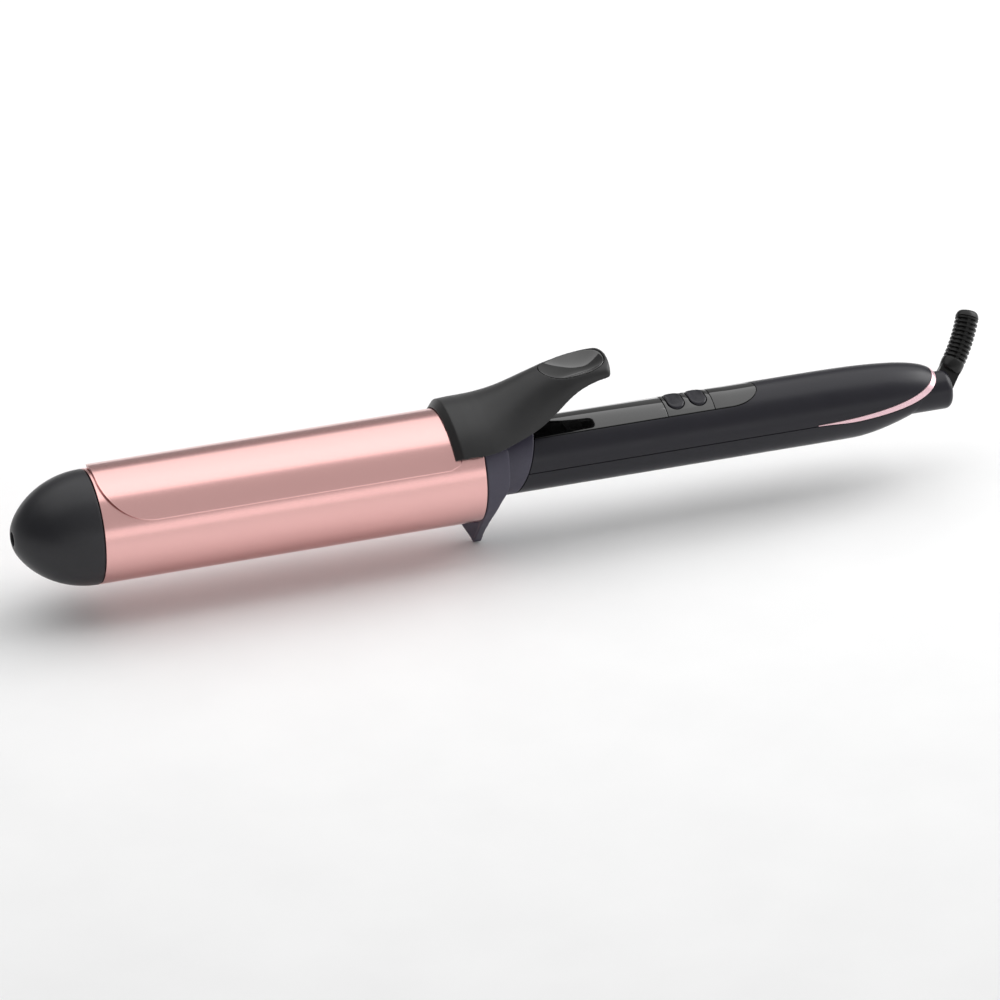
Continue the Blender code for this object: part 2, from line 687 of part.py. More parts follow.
def knuckle_bore(name, start, axis):
    shape = turned([(start, BORE_RADIUS), (190.0, BORE_RADIUS)], MEDIUM, centre=(0.0, KNUCKLE_HEIGHT))
    return mesh_object(name, *shape, axis)


def trim_band(name, axis, clearance, skin=None):
    """The crescent of handle surface between the trim's two edges, grown by a clearance."""
    end = TAPER_START + (TAPER_END - TAPER_START) * math.sin(1.49)
    band = mesh_object(name, *handle_solid(handle_stations(12.0, end), -clearance), axis, skin)
    above = beside_line(trim_top, clearance, 1)
    below = beside_line(trim_bottom, GAP / 2 - 2 * clearance, -1)
    front = block((0.0, -20.0, -20.0), (TRIM_START + 1.0 - clearance, 20.0, 20.0))
    inner = handle_solid(handle_stations(8.0, 160.0 - clearance), TRIM_DEPTH + clearance)
    for part, shape in (("above", above), ("below", below), ("front", front), ("inner", inner)):
        cut(band, mesh_object(f"{name}_{part}_tool", *shape, axis))
    return band


def build_shell(name, side, axis, skins):
    """One half of the handle: side is 1 for the upper and -1 for the lower."""
    end = TAPER_START + (TAPER_END - TAPER_START) * math.sin(1.49)
    shell = mesh_object(name, *handle_solid(handle_stations(10.0, end)), axis, skins["satin_black"])
    cut(shell, mesh_object(name + "_front_tool", *slanted_block(GAP, -40.0), axis))
    cavity = handle_solid(handle_stations(8.0, CAVITY_END), HANDLE_WALL, 0.5)
    cut(shell, mesh_object(name + "_cavity_tool", *cavity, axis))
    cut(shell, knuckle_bore(name + "_bore_tool", 130.0, axis))
    for place, x in SCREW_PLACES.items():
        low, high = (0.6, 11.0) if side > 0 else (-11.0, -1.8)
        post = rod("Z", (x, 0.0, low), high - low, 3.2, SMALL)
        join(shell, mesh_object(f"{name}_{place}_boss_tool", *post, axis))
        if side > 0:
            hole = rod("Z", (x, 0.0, -1.0), 7.0, 1.4, SMALL)
        else:
            levels = [(-16.0, 2.8), (-9.4, 2.8), (-9.4, 1.5), (2.0, 1.5)]
            hole = stepped_rod_z(x, 0.0, levels, SMALL)
        cut(shell, mesh_object(f"{name}_{place}_hole_tool", *hole, axis))
    line = beside_line(trim_bottom, side * GAP / 2, -side)
    cut(shell, mesh_object(name + "_split_tool", *line, axis))
    return shell


def build_handle(axis, skins):
    upper = build_shell("handle_upper_shell", 1, axis, skins)
    cut(upper, trim_band("trim_seat_tool", axis, 0.3))
    lower = build_shell("handle_lower_shell", -1, axis, skins)
    slope = 0.75
    reach = 20.0
    rear = [(LOWER_REAR - slope * reach, -reach), (LOWER_REAR + slope * reach, reach)]
    rear += [(200.0, reach), (200.0, -reach)]
    cut(lower, mesh_object("lower_rear_tool", *prism_y(rear, -30.0, 30.0), axis))

    for place, x in SCREW_PLACES.items():
        levels = [(-11.3, 2.4), (-9.7, 2.4), (-9.7, 1.1), (5.0, 1.1)]
        shape = stepped_rod_z(x, 0.0, levels, SMALL)
        mesh_object(f"handle_screw_{place}", *shape, axis, skins["steel"])

    trim = trim_band("accent_trim", axis, 0.0, skins["accent_metal"])
    cut(trim, knuckle_bore("trim_bore_tool", 100.0, axis))
    return upper


def strip_stations(start, end, grow, round_rear):
    stations = [(start, STRIP_HALF_ANGLE + grow)]
    if round_rear:
        rear = rounded_end(end, end - 10.0, STRIP_HALF_ANGLE + grow, 4.0, 7)
        stations += [(x, half) for x, half in reversed(rear)]
    else:
        stations.append((end, STRIP_HALF_ANGLE + grow))
    return stations


def build_controls(axis, skins, upper_shell):
    floor = HANDLE_RADIUS - STRIP_DEPTH
    under = floor + 0.2
    pocket = arc_plate(strip_stations(4.0, STRIP_END + 0.3, 1.2, True), floor, 20.0, 9)
    cut(upper_shell, mesh_object("strip_pocket_tool", *pocket, axis))

    shape = arc_plate(strip_stations(10.0, PANEL_FRONT - GAP / 2, 0.0, False), under, HANDLE_RADIUS, 9)
    front = mesh_object("fascia_front", *shape, axis, skins["gloss_black"])
    cut(front, mesh_object("fascia_front_tool", *slanted_block(GAP, -40.0), axis))
    shape = arc_plate(strip_stations(PANEL_REAR + GAP / 2, STRIP_END, 0.0, True), under, HANDLE_RADIUS, 9)
    mesh_object("fascia_rear", *shape, axis, skins["gloss_black"])
    stations = strip_stations(PANEL_FRONT + GAP / 2, PANEL_REAR - GAP / 2, 0.0, False)
    panel = mesh_object("button_panel", *arc_plate(stations, under, HANDLE_RADIUS, 9), axis)
    panel.data.materials.append(skins["gloss_black"])

    for name, x in BUTTON_PLACES.items():
        hole = prism_z(button_outline(x, 0.3), 6.0, 20.0)
        cut(panel, mesh_object(name + "_panel_tool", *hole, axis))
        cut(upper_shell, mesh_object(name + "_shell_tool", *hole, axis))
        slide = pivot_empty(name + "_slide", axis, (x, 0.0, HANDLE_RADIUS))
        body = button_shape(x)
        mesh_object(name, *body, slide, skins["satin_black"], offset=(x, 0.0, HANDLE_RADIUS))


def button_shape(centre):
    """An oval cap that follows the handle's curve, with a retaining flange and a stem below."""
    def level(scale, depth, flat=False):
        ring = []
        for x, y in button_outline(centre, 0.0):
            across = y * scale
            height = HANDLE_RADIUS if flat else math.sqrt(HANDLE_RADIUS**2 - across**2)
            ring.append((centre + (x - centre) * scale, across, height + depth))
        return ring

    rings = [level(0.3, -4.0, True), level(0.3, -3.4), level(1.12, -3.2), level(1.12, -2.6)]
    rings += [level(1.0, -2.6), level(1.0, BUTTON_RISE - 0.25), level(0.88, BUTTON_RISE)]
    rings += [level(0.45, BUTTON_RISE - 0.1)]
    return loft(rings)


def build_electronics(axis, skins):
    top = 4.2
    shape = block((40.0, -8.2, top - 1.2), (104.0, 8.2, top))
    mesh_object("circuit_board", *shape, axis, skins["board_green"])
    for name, button in (("power_switch", "power_button"), ("heat_switch", "heat_button")):
        x = BUTTON_PLACES[button]
        body = mesh_object(name, *block((x - 2.3, -2.3, top + 0.2), (x + 2.3, 2.3, top + 1.9)), axis)
        body.data.materials.append(skins["component_black"])
        plunger = rod("Z", (x, 0.0, top + 1.0), 2.1, 1.0, TINY)
        join(body, mesh_object(name + "_plunger_tool", *plunger, axis))
    shape = stepped_rod_z(57.0, 0.0, [(top + 0.2, 1.5), (top + 2.6, 1.5), (top + 3.6, 0.8)], TINY)
    mesh_object("status_led", *shape, axis, skins["led_lens"])
    under = top - 1.2 - GAP
    mesh_object("triac", *block((50.0, -5.0, under - 4.4), (60.0, 5.0, under)), axis, skins["component_black"])
    shape = block((68.0, -6.0, under - 6.0), (81.0, 0.0, under))
    mesh_object("filter_capacitor", *shape, axis, skins["component_yellow"])
    shape = rod("X", (68.0, 4.6, under - 2.4), 12.0, 2.2, TINY)
    mesh_object("dropper_resistor", *shape, axis, skins["ceramic"])


# ---- swivel and strain relief ----
def build_contacts(axis, skins):
    """The fixed side of the swivel: its retainer, and the contacts that brush on the slip rings."""
    profile = [(133.0, 8.0), (135.6, 8.0), (135.6, 3.9), (133.0, 3.9)]
    shape = turned(profile, MEDIUM, hollow=True, centre=(0.0, KNUCKLE_HEIGHT))
    mesh_object("swivel_retainer", *shape, axis, skins["component_black"])
    height = KNUCKLE_HEIGHT
    for name, side, x in (("live", -1, 122.0), ("neutral", 1, 127.0)):
        low, high = sorted((side * 5.2, side * 7.6))
        shape = block((x, low, height - 1.5), (x + 3.0, high, height + 1.5))
        mesh_object("brush_contact_" + name, *shape, axis, skins["brass"])
        path = [(104.4, 5.0, 3.6), (107.0, 5.4, 2.6), (113.0, 5.8, 0.0), (118.0, 6.4, height)]
        path += [(x - 0.4, 6.4, height)]
        skin = skins["wire_red" if side < 0 else "wire_blue"]
        shape = wire([(px, side * py, pz) for px, py, pz in path], 0.8)
        mesh_object("mains_lead_" + name, *shape, axis, skin)


def build_swivel(axis, skins):
    turn = (-BOOT_AZIMUTH, 0.0, 0.0)
    swivel = pivot_empty("cord_swivel", axis, (KNUCKLE_START, 0.0, KNUCKLE_HEIGHT), turn)
    start = (KNUCKLE_START, 0.0, 0.0)

    def piece(name, shape, skin=None):
        return mesh_object(name, *shape, swivel, skin and skins[skin], offset=start)

    flange = 136.0
    profile = [(KNUCKLE_START, 3.5), (flange, 3.5), (flange, 7.5), (flange + 2.0, 7.5)]
    profile += [(flange + 2.0, KNUCKLE_RADIUS)]
    corner = 2.2
    for t in spread(0.0, math.pi / 2, 5):
        x = KNUCKLE_END - corner + corner * math.sin(t)
        profile.append((x, KNUCKLE_RADIUS - corner + corner * math.cos(t)))
    knuckle = piece("swivel_knuckle", turned(profile, MEDIUM), "satin_black")
    slot = block((BOOT_HINGE_X - 5.2, -SLOT_WIDTH / 2, -4.2), (190.0, SLOT_WIDTH / 2, 12.0))
    cut(knuckle, piece("fork_slot_tool", slot))
    hole = rod("Y", (BOOT_HINGE_X, -5.6, 0.0), 24.0, 1.4, SMALL)
    cut(knuckle, piece("boot_pin_hole_tool", hole))
    piece("boot_pin", rod("Y", (BOOT_HINGE_X, -5.4, 0.0), 11.4, 1.2, SMALL), "steel")
    for name, x in (("slip_ring_live", 122.0), ("slip_ring_neutral", 127.0)):
        piece(name, tube_x(x, x + 3.0, 4.8, 3.8, MEDIUM), "brass")

    place = (BOOT_HINGE_X - KNUCKLE_START, 0.0, 0.0)
    build_boot(pivot_empty("boot_tilt", swivel, place, (0.0, -BOOT_TILT, 0.0)), skins)


def boot_point(distance, across, up):
    """A point on the strain relief, whose middle line leaves its hinge straight and then curls upwards."""
    straight = 9.0
    run = max(0.0, distance - straight)
    radius = (BOOT_LENGTH - straight) / math.radians(BOOT_CURL)
    turn = run / radius
    x = min(distance, straight) + radius * math.sin(turn) - up * math.sin(turn)
    return x, across, radius * (1 - math.cos(turn)) + up * math.cos(turn)


def bent_turned(profile, segments):
    """A solid turned about the strain relief's middle line, from (distance, radius) rows."""
    rings = []
    for distance, radius in profile:
        turns = [2 * math.pi * j / segments for j in range(segments)]
        ring = [boot_point(distance, radius * math.sin(t), radius * math.cos(t)) for t in turns]
        rings.append(ring)
    return loft(rings)


def build_boot(tilt, skins):
    """The ribbed strain relief, made along its own X from the hinge."""
    profile = [(7.0, 3.4), (7.6, 3.7), (11.0, 3.85)]
    pitch = 1.55
    ribs = 10
    for i in range(ribs):
        x = 11.0 + pitch * i
        profile += [(x + 0.15, 3.2), (x + 0.75, 3.2), (x + 0.95, 3.9), (x + pitch, 3.9)]
    profile += [(BOOT_LENGTH - 1.2, 3.8), (BOOT_LENGTH - 0.4, 3.4), (BOOT_LENGTH, 2.9)]
    boot = mesh_object("strain_relief", *bent_turned(profile, SMALL), tilt, skins["rubber"])
    edge = [(3.5 * math.sin(t), -3.5 * math.cos(t)) for t in spread(0.0, -math.pi, 9)]
    eye = prism_y(edge + [(4.5, 3.4), (8.6, 3.3), (8.6, -3.3), (4.5, -3.4)], -2.1, 2.1)
    join(boot, mesh_object("boot_eye_tool", *eye, tilt))
    cut(boot, mesh_object("boot_bore_tool", *rod("Y", (0.0, -6.0, 0.0), 12.0, 1.4, SMALL), tilt))
    mouth = bent_turned([(20.0, 1.9), (BOOT_LENGTH + 2.0, 1.9)], SMALL)
    cut(boot, mesh_object("cord_bore_tool", *mouth, tilt))


def main():
    clear_scene()
    skins = make_materials()
    axis = pivot_empty("iron_axis", None, (-FOOT_X, 0.0, AXIS_HEIGHT))
    build_barrel(axis, skins)
    build_heater(axis, skins)
    build_collar(axis, skins)
    build_clamp(axis, skins)
    upper_shell = build_handle(axis, skins)
    build_controls(axis, skins, upper_shell)
    build_electronics(axis, skins)
    build_contacts(axis, skins)
    build_swivel(axis, skins)


main()
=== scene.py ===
"""Looks of the curling iron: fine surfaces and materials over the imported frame, a studio and a camera.

Lengths are millimetres from the barrel's axis and from its root at X = 0, in the frame's directions,
until place() turns them into metres in the frame. The tip is at -X and the cord outlet at +X.
"""

import json
import math

import bmesh
import bpy
from mathutils import Euler, Matrix, Vector


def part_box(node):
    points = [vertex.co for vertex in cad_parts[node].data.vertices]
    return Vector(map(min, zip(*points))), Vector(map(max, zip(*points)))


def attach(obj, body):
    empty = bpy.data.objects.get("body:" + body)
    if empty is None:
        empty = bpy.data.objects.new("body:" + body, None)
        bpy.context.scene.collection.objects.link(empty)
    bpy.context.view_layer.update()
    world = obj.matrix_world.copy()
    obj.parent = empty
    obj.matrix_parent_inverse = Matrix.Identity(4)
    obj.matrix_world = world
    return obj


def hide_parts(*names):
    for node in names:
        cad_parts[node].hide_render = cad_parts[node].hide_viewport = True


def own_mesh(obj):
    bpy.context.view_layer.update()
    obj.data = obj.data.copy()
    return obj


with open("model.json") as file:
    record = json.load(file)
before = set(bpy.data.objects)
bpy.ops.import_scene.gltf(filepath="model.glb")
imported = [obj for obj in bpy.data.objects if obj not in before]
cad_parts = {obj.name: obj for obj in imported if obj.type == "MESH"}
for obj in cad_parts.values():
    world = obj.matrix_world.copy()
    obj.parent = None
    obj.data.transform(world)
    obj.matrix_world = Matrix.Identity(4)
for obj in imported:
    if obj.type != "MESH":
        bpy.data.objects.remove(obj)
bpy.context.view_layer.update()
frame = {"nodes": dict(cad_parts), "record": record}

# ---- sizes ----
MM = 0.001
tube_low, tube_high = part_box("barrel_tube")
AXIS_HEIGHT = (tube_low[2] + tube_high[2]) / 2 / MM
BARREL_RADIUS = (tube_high[2] - tube_low[2]) / 2 / MM
FOOT_X = 1.6                # the stand foot's tip, at the frame's origin, behind the barrel's root
GAP = 0.3
TIP_LENGTH = 26.0
SLEEVE_WALL = 1.2
SHEET = 0.8                 # thickness of the clamp's plate
PLATE_INNER_RADIUS = BARREL_RADIUS + 0.35
PLATE_OUTER_RADIUS = PLATE_INNER_RADIUS + SHEET
PLATE_FRONT = -128.1
PLATE_SQUARE_X = -111.0     # where the plate's rounded front reaches its full width
PLATE_HALF_ANGLE = 64.2

HANDLE_RADIUS = 11.95
HANDLE_WALL = 2.0
SEAM_HEIGHT = -0.7
TAPER_START = 113.0
TAPER_END = 162.6
TRIM_START = 115.8
TRIM_TOP_END = 160.9
TRIM_BOTTOM_END = 162.3
TRIM_DEPTH = 1.6
CAVITY_END = 138.4

NECK_RADIUS = 11.9
COLLAR_REAR = 16.3
COLLAR_SLANT = 0.34
FOOT_TIP = (0.5, 2.8)       # where the stand foot's flat tip starts and ends
FOOT_HALF_WIDTH = 1.1
HINGE = (8.5, 0.0, 13.0)
HINGE_BORE = 1.7
LEVER_BORE = PLATE_OUTER_RADIUS + 0.2
LEVER_EDGE_ANGLE = 56.3
LEVER_LEAN = 0.07           # how far the lever's front leans forward for its height
LEVER_WALL = 2.2
PAD_SEAT = 28.1
SPRING_X = 16.2

STRIP_HALF_ANGLE = 37.0
STRIP_END = 98.4
PANEL_FRONT = 66.1
PANEL_REAR = 82.4
STRIP_DEPTH = 0.8
BUTTON_PLACES = {"power_button": 70.2, "heat_button": 77.9}
BUTTON_HALF_X, BUTTON_HALF_Y = 2.8, 5.1
BUTTON_GAP = 0.3
BUTTON_RISE = 0.45
SCREW_PLACES = {"handle_screw_front": 30.0, "handle_screw_rear": 110.0}

KNUCKLE_HEIGHT = -1.0
KNUCKLE_RADIUS = 6.5
KNUCKLE_START = 119.0
KNUCKLE_END = 166.7
FLANGE_X = 136.0            # the disc that holds the knuckle inside the handle
BOOT_HINGE_X = 163.7
BOOT_PIN_BORE = 1.4
BOOT_AZIMUTH = 38.0
BOOT_TILT = 52.0
BOOT_CURL = 17.0
BOOT_STRAIGHT = 9.0
BOOT_LENGTH = 28.8
CORD_BORE = 1.9

FINE = 160                  # segments round the barrel
FAIR = 96                   # segments round smaller pieces
IRON_SPACE = Matrix.Translation((-FOOT_X * MM, 0, AXIS_HEIGHT * MM)) @ Matrix.Scale(MM, 4)
SWIVEL_TURN = Euler((math.radians(-BOOT_AZIMUTH), 0, 0)).to_matrix().to_4x4()
SWIVEL_SPACE = IRON_SPACE @ Matrix.Translation((0, 0, KNUCKLE_HEIGHT)) @ SWIVEL_TURN
BOOT_LEAN = Euler((0, math.radians(-BOOT_TILT), 0)).to_matrix().to_4x4()
BOOT_SPACE = SWIVEL_SPACE @ Matrix.Translation((BOOT_HINGE_X, 0, 0)) @ BOOT_LEAN


# ---- shapes: each is (points, faces) ----
def spread(start, end, count):
    return [start + (end - start) * i / (count - 1) for i in range(count)]


def smooth_step(value, start, end):
    t = min(1.0, max(0.0, (value - start) / (end - start)))
    return t * t * (3 - 2 * t)


def spline(rows, x):
    """Catmull-Rom interpolation of rows (x, a, b, ...) at x."""
    last = len(rows) - 1
    i = max(0, min(last - 1, sum(1 for row in rows[1:] if row[0] <= x)))
    before, here, there, after = (rows[max(0, min(last, k))] for k in (i - 1, i, i + 1, i + 2))
    width = there[0] - here[0]
    t = (x - here[0]) / width
    values = []
    for k in range(1, len(here)):
        m0 = (there[k] - before[k]) / (there[0] - before[0]) * width
        m1 = (after[k] - here[k]) / (after[0] - here[0]) * width
        h00, h10 = 2 * t**3 - 3 * t**2 + 1, t**3 - 2 * t**2 + t
        h01, h11 = 3 * t**2 - 2 * t**3, t**3 - t**2
        values.append(h00 * here[k] + h10 * m0 + h01 * there[k] + h11 * m1)
    return values


def outward(points, faces):
    """Turns every face over if the closed shape has a negative volume."""
    volume = 0.0
    for face in faces:
        a = Vector(points[face[0]])
        for j in range(1, len(face) - 1):
            volume += a.dot(Vector(points[face[j]]).cross(Vector(points[face[j + 1]])))
    if volume < 0:
        faces = [tuple(reversed(face)) for face in faces]
    return points, faces


def loft(rings, wrap=False):
    """A skin through rings of equal length. It closes on itself if wrap, and has end caps if not."""
    count = len(rings[0])
    points = [point for ring in rings for point in ring]
    faces = []
    for i in range(len(rings) if wrap else len(rings) - 1):
        here, there = i * count, ((i + 1) % len(rings)) * count
        for j in range(count):
            k = (j + 1) % count
            faces.append((here + j, here + k, there + k, there + j))
    if not wrap:
        faces.append(tuple(reversed(range(count))))
        faces.append(tuple(len(points) - count + j for j in range(count)))
    return outward(points, faces)


def turned(profile, segments=FAIR, hollow=False, height=0.0):
    """A solid turned about the X direction. A hollow profile is a closed loop of (x, radius)."""
    turns = [2 * math.pi * j / segments for j in range(segments)]
    rings = [[(x, r * math.sin(t), height + r * math.cos(t)) for t in turns] for x, r in profile]
    return loft(rings, wrap=hollow)


def rounded(corner, before, after, radius, steps=4):
    """Points that round a corner of a profile, whose neighbours are before and after."""
    corner, before, after = Vector(corner), Vector(before), Vector(after)
    start = corner + (before - corner).normalized() * radius
    end = corner + (after - corner).normalized() * radius
    arc = []
    for t in spread(0.0, 1.0, steps + 1):
        arc.append(tuple(start * (1 - t) ** 2 + corner * 2 * t * (1 - t) + end * t**2))
    return arc


def rounded_loop(corners, radius):
    """A closed profile with every corner rounded."""
    profile = []
    for i, corner in enumerate(corners):
        profile += rounded(corner, corners[i - 1], corners[(i + 1) % len(corners)], radius)
    return profile


def rod(axis, start, length, radius, segments=48):
    """A cylinder from start along +X, +Y or +Z."""
    rings = []
    for step in (0.0, length):
        ring = []
        for j in range(segments):
            t = 2 * math.pi * j / segments
            u, v = radius * math.cos(t), radius * math.sin(t)
            along = {"X": (step, u, v), "Y": (v, step, u), "Z": (u, v, step)}[axis]
            ring.append(tuple(s + a for s, a in zip(start, along)))
        rings.append(ring)
    return loft(rings)


def post(x, levels, segments=48):
    """A turned post along Z through (height, radius) levels, on the middle plane."""
    turns = [2 * math.pi * j / segments for j in range(segments)]
    return loft([[(x + r * math.cos(t), r * math.sin(t), z) for t in turns] for z, r in levels])


def block(low, high):
    corners = [(low[0], low[1]), (high[0], low[1]), (high[0], high[1]), (low[0], high[1])]
    return loft([[(x, y, z) for x, y in corners] for z in (low[2], high[2])])


def prism_x(outline, x0, x1):
    return loft([[(x, y, z) for y, z in outline] for x in (x0, x1)])


def prism_y(outline, y0, y1):
    return loft([[(x, y, z) for x, z in outline] for y in (y0, y1)])


def prism_z(outline, z0, z1):
    return loft([[(x, y, z) for x, y in outline] for z in (z0, z1)])


def arc_plate(stations, inner, outer, columns):
    """A curved plate on the barrel's axis. stations are (x, half angle in degrees)."""
    rings = []
    for x, half in stations:
        turns = [math.radians(half * (2 * j / columns - 1)) for j in range(columns + 1)]
        over = [(x, outer * math.sin(t), outer * math.cos(t)) for t in turns]
        under = [(x, inner * math.sin(t), inner * math.cos(t)) for t in reversed(turns)]
        rings.append(over + under)
    return loft(rings)


def rounded_end(x_end, x_full, half, first, steps):
    """Stations from a narrow end to the full half angle, along a quarter ellipse."""
    stations = []
    for turn in spread(0.0, math.pi / 2, steps + 1):
        x = x_end + (x_full - x_end) * (1 - math.cos(turn))
        stations.append((x, first + (half - first) * math.sin(turn)))
    return stations


# ---- making pieces ----
def place(name, shape, space=IRON_SPACE):
    """An object from a shape, with its points in metres in the frame."""
    points, faces = shape
    mesh = bpy.data.meshes.new(name)
    mesh.from_pydata([tuple(space @ Vector(point)) for point in points], [], faces)
    mesh.update()
    made = bpy.data.objects.new(name, mesh)
    bpy.context.scene.collection.objects.link(made)
    return made


def settle(made):
    """Applies a piece's modifiers to its mesh."""
    graph = bpy.context.evaluated_depsgraph_get()
    mesh = bpy.data.meshes.new_from_object(made.evaluated_get(graph))
    made.modifiers.clear()
    old = made.data
    made.data = mesh
    bpy.data.meshes.remove(old)
    return made


def combine(made, steps, space=IRON_SPACE):
    """Cuts shapes from a piece, or joins them to it, in turn. steps are ("cut" or "join", shape)."""
    tools = []
    for i, (action, shape) in enumerate(steps):
        tool = shape if isinstance(shape, bpy.types.Object) else place(f"{made.name}_tool_{i}", shape, space)
        modifier = made.modifiers.new(tool.name, "BOOLEAN")
        modifier.operation = "DIFFERENCE" if action == "cut" else "UNION"
        modifier.object = tool
        modifier.solver = "EXACT"
        tools.append(tool)
    settle(made)
    for tool in tools:
        bpy.data.objects.remove(tool, do_unlink=True)
    return made


def bevel(made, width, segments, angle):
    """Rounds the edges that are sharper than an angle."""
    modifier = made.modifiers.new("edges", "BEVEL")
    modifier.width = width * MM
    modifier.segments = segments
    modifier.limit_method = "ANGLE"
    modifier.angle_limit = math.radians(angle)
    return settle(made)


def soften(made, voxel, passes):
    """Rounds every edge of a moulded piece over by rebuilding it from small voxels and smoothing them."""
    remesh = made.modifiers.new("voxels", "REMESH")
    remesh.mode = "VOXEL"
    remesh.voxel_size = voxel * MM
    smooth = made.modifiers.new("smooth", "SMOOTH")
    smooth.iterations = passes
    smooth.factor = 0.5
    thin = made.modifiers.new("thin", "DECIMATE")
    thin.ratio = 0.5
    return settle(made)


def shade(made, angle=40.0):
    made.data.shade_smooth()
    made.data.set_sharp_from_angle(angle=math.radians(angle))
    return made


def dress(made, body, slot, nodes=(), angle=40.0):
    """Shades a finished piece, gives it its slot's material, ties it to its body and hides the CAD nodes it
    stands for.
    """
    shade(made, angle)
    made.data.materials.clear()
    made.data.materials.append(skin(slot))
    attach(made, body)
    if nodes:
        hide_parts(*nodes)
    return made


# ---- materials ----
def map_range(tree, value, start, end):
    """A value taken from one (in, out) pair to another, and held level outside them."""
    node = tree.nodes.new("ShaderNodeMapRange")
    for i, kind in enumerate(("From", "To")):
        node.inputs[f"{kind} Min"].default_value = start[i]
        node.inputs[f"{kind} Max"].default_value = end[i]
    tree.links.new(value, node.inputs["Value"])
    return node.outputs["Result"]


class Skin:
    """A Principled material and the few node steps its surface needs."""

    def __init__(self, name, colour, roughness, metallic=0.0, **settings):
        self.material = bpy.data.materials.new(name)
        self.material.use_nodes = True
        self.material.diffuse_color = (*colour, 1.0)
        self.tree = self.material.node_tree
        self.shader = self.tree.nodes["Principled BSDF"]
        self.put("Base Color", (*colour, 1.0))
        self.put("Roughness", roughness)
        self.put("Metallic", metallic)
        for socket, value in settings.items():
            self.put(socket.replace("_", " ").capitalize().replace("ior", "IOR"), value)
        self.place = self.tree.nodes.new("ShaderNodeTexCoord").outputs["Object"]
        self.normal = None

    def put(self, socket, value):
        names = {name.lower(): name for name in self.shader.inputs.keys()}
        self.shader.inputs[names[socket.lower()]].default_value = value

    def stretched(self, scale):
        mapping = self.tree.nodes.new("ShaderNodeMapping")
        mapping.inputs["Scale"].default_value = scale
        self.tree.links.new(self.place, mapping.inputs["Vector"])
        return mapping.outputs["Vector"]

    def noise(self, size, detail=2.0, stretch=(1.0, 1.0, 1.0)):
        """Noise whose features are about size millimetres across."""
        node = self.tree.nodes.new("ShaderNodeTexNoise")
        node.inputs["Scale"].default_value = 1.0 / (size * MM)
        node.inputs["Detail"].default_value = detail
        self.tree.links.new(self.stretched(stretch), node.inputs["Vector"])
        return node.outputs["Fac"]

    def spots(self, size):
        """Cells about size millimetres across, each with a random brightness."""
        node = self.tree.nodes.new("ShaderNodeTexVoronoi")
        node.inputs["Scale"].default_value = 1.0 / (size * MM)
        self.tree.links.new(self.place, node.inputs["Vector"])
        return node.outputs["Color"]

    def tint(self, value, dark, light, start=0.3, end=0.7):
        """Base colour that runs from dark to light with a value."""
        ramp = self.tree.nodes.new("ShaderNodeValToRGB")
        ramp.color_ramp.elements[0].position = start
        ramp.color_ramp.elements[0].color = (*dark, 1.0)
        ramp.color_ramp.elements[1].position = end
        ramp.color_ramp.elements[1].color = (*light, 1.0)
        self.tree.links.new(value, ramp.inputs["Fac"])
        self.tree.links.new(ramp.outputs["Color"], self.shader.inputs["Base Color"])
        return self

    def polish(self, value, low, high):
        """Roughness that runs from low to high with a value."""
        level = map_range(self.tree, value, (0.3, low), (0.7, high))
        self.tree.links.new(level, self.shader.inputs["Roughness"])
        return self

    def bump(self, value, height):
        """Relief, whose full height is in millimetres."""
        node = self.tree.nodes.new("ShaderNodeBump")
        node.inputs["Strength"].default_value = 1.0
        node.inputs["Distance"].default_value = height * MM
        self.tree.links.new(value, node.inputs["Height"])
        if self.normal:
            self.tree.links.new(self.normal, node.inputs["Normal"])
        self.normal = node.outputs["Normal"]
        self.tree.links.new(self.normal, self.shader.inputs["Normal"])
        return self

    def painted_edge_shadow(self, inner, outer, shade):
        """Paints shade: darkens the base colour between two distances from the barrel's axis, in
        millimetres, as a painted shadow line.
        """
        mapping = self.tree.nodes.new("ShaderNodeMapping")
        mapping.inputs["Scale"].default_value = (0.0, 1 / MM, 1 / MM)
        mapping.inputs["Location"].default_value = (0.0, 0.0, -AXIS_HEIGHT)
        self.tree.links.new(self.place, mapping.inputs["Vector"])
        distance = self.tree.nodes.new("ShaderNodeVectorMath")
        distance.operation = "LENGTH"
        self.tree.links.new(mapping.outputs["Vector"], distance.inputs[0])
        ramp = self.tree.nodes.new("ShaderNodeValToRGB")
        ramp.color_ramp.interpolation = "CONSTANT"
        ramp.color_ramp.elements[0].color = (1.0, 1.0, 1.0, 1.0)
        ramp.color_ramp.elements[1].position = 0.99
        ramp.color_ramp.elements[1].color = (1.0, 1.0, 1.0, 1.0)
        ramp.color_ramp.elements.new(0.01).color = (*shade, 1.0)
        within = map_range(self.tree, distance.outputs["Value"], (inner, 0.0), (outer, 1.0))
        self.tree.links.new(within, ramp.inputs["Fac"])
        blend = self.tree.nodes.new("ShaderNodeVectorMath")
        blend.operation = "MULTIPLY"
        base = self.shader.inputs["Base Color"]
        self.tree.links.new(base.links[0].from_socket, blend.inputs[0])
        self.tree.links.new(ramp.outputs["Color"], blend.inputs[1])
        self.tree.links.new(blend.outputs["Vector"], base)
        return self

    def moulded(self, grain=0.25, height=0.004, wander=0.05):
        """The fine spark-eroded grain and uneven gloss of moulded plastic."""
        rough = self.shader.inputs["Roughness"].default_value
        self.bump(self.noise(grain, 3.0), height)
        self.polish(self.noise(9.0, 3.0), rough - wander, rough + wander)
        return self


def lighter(colour, factor):
    return tuple(min(1.0, value * factor) for value in colour)


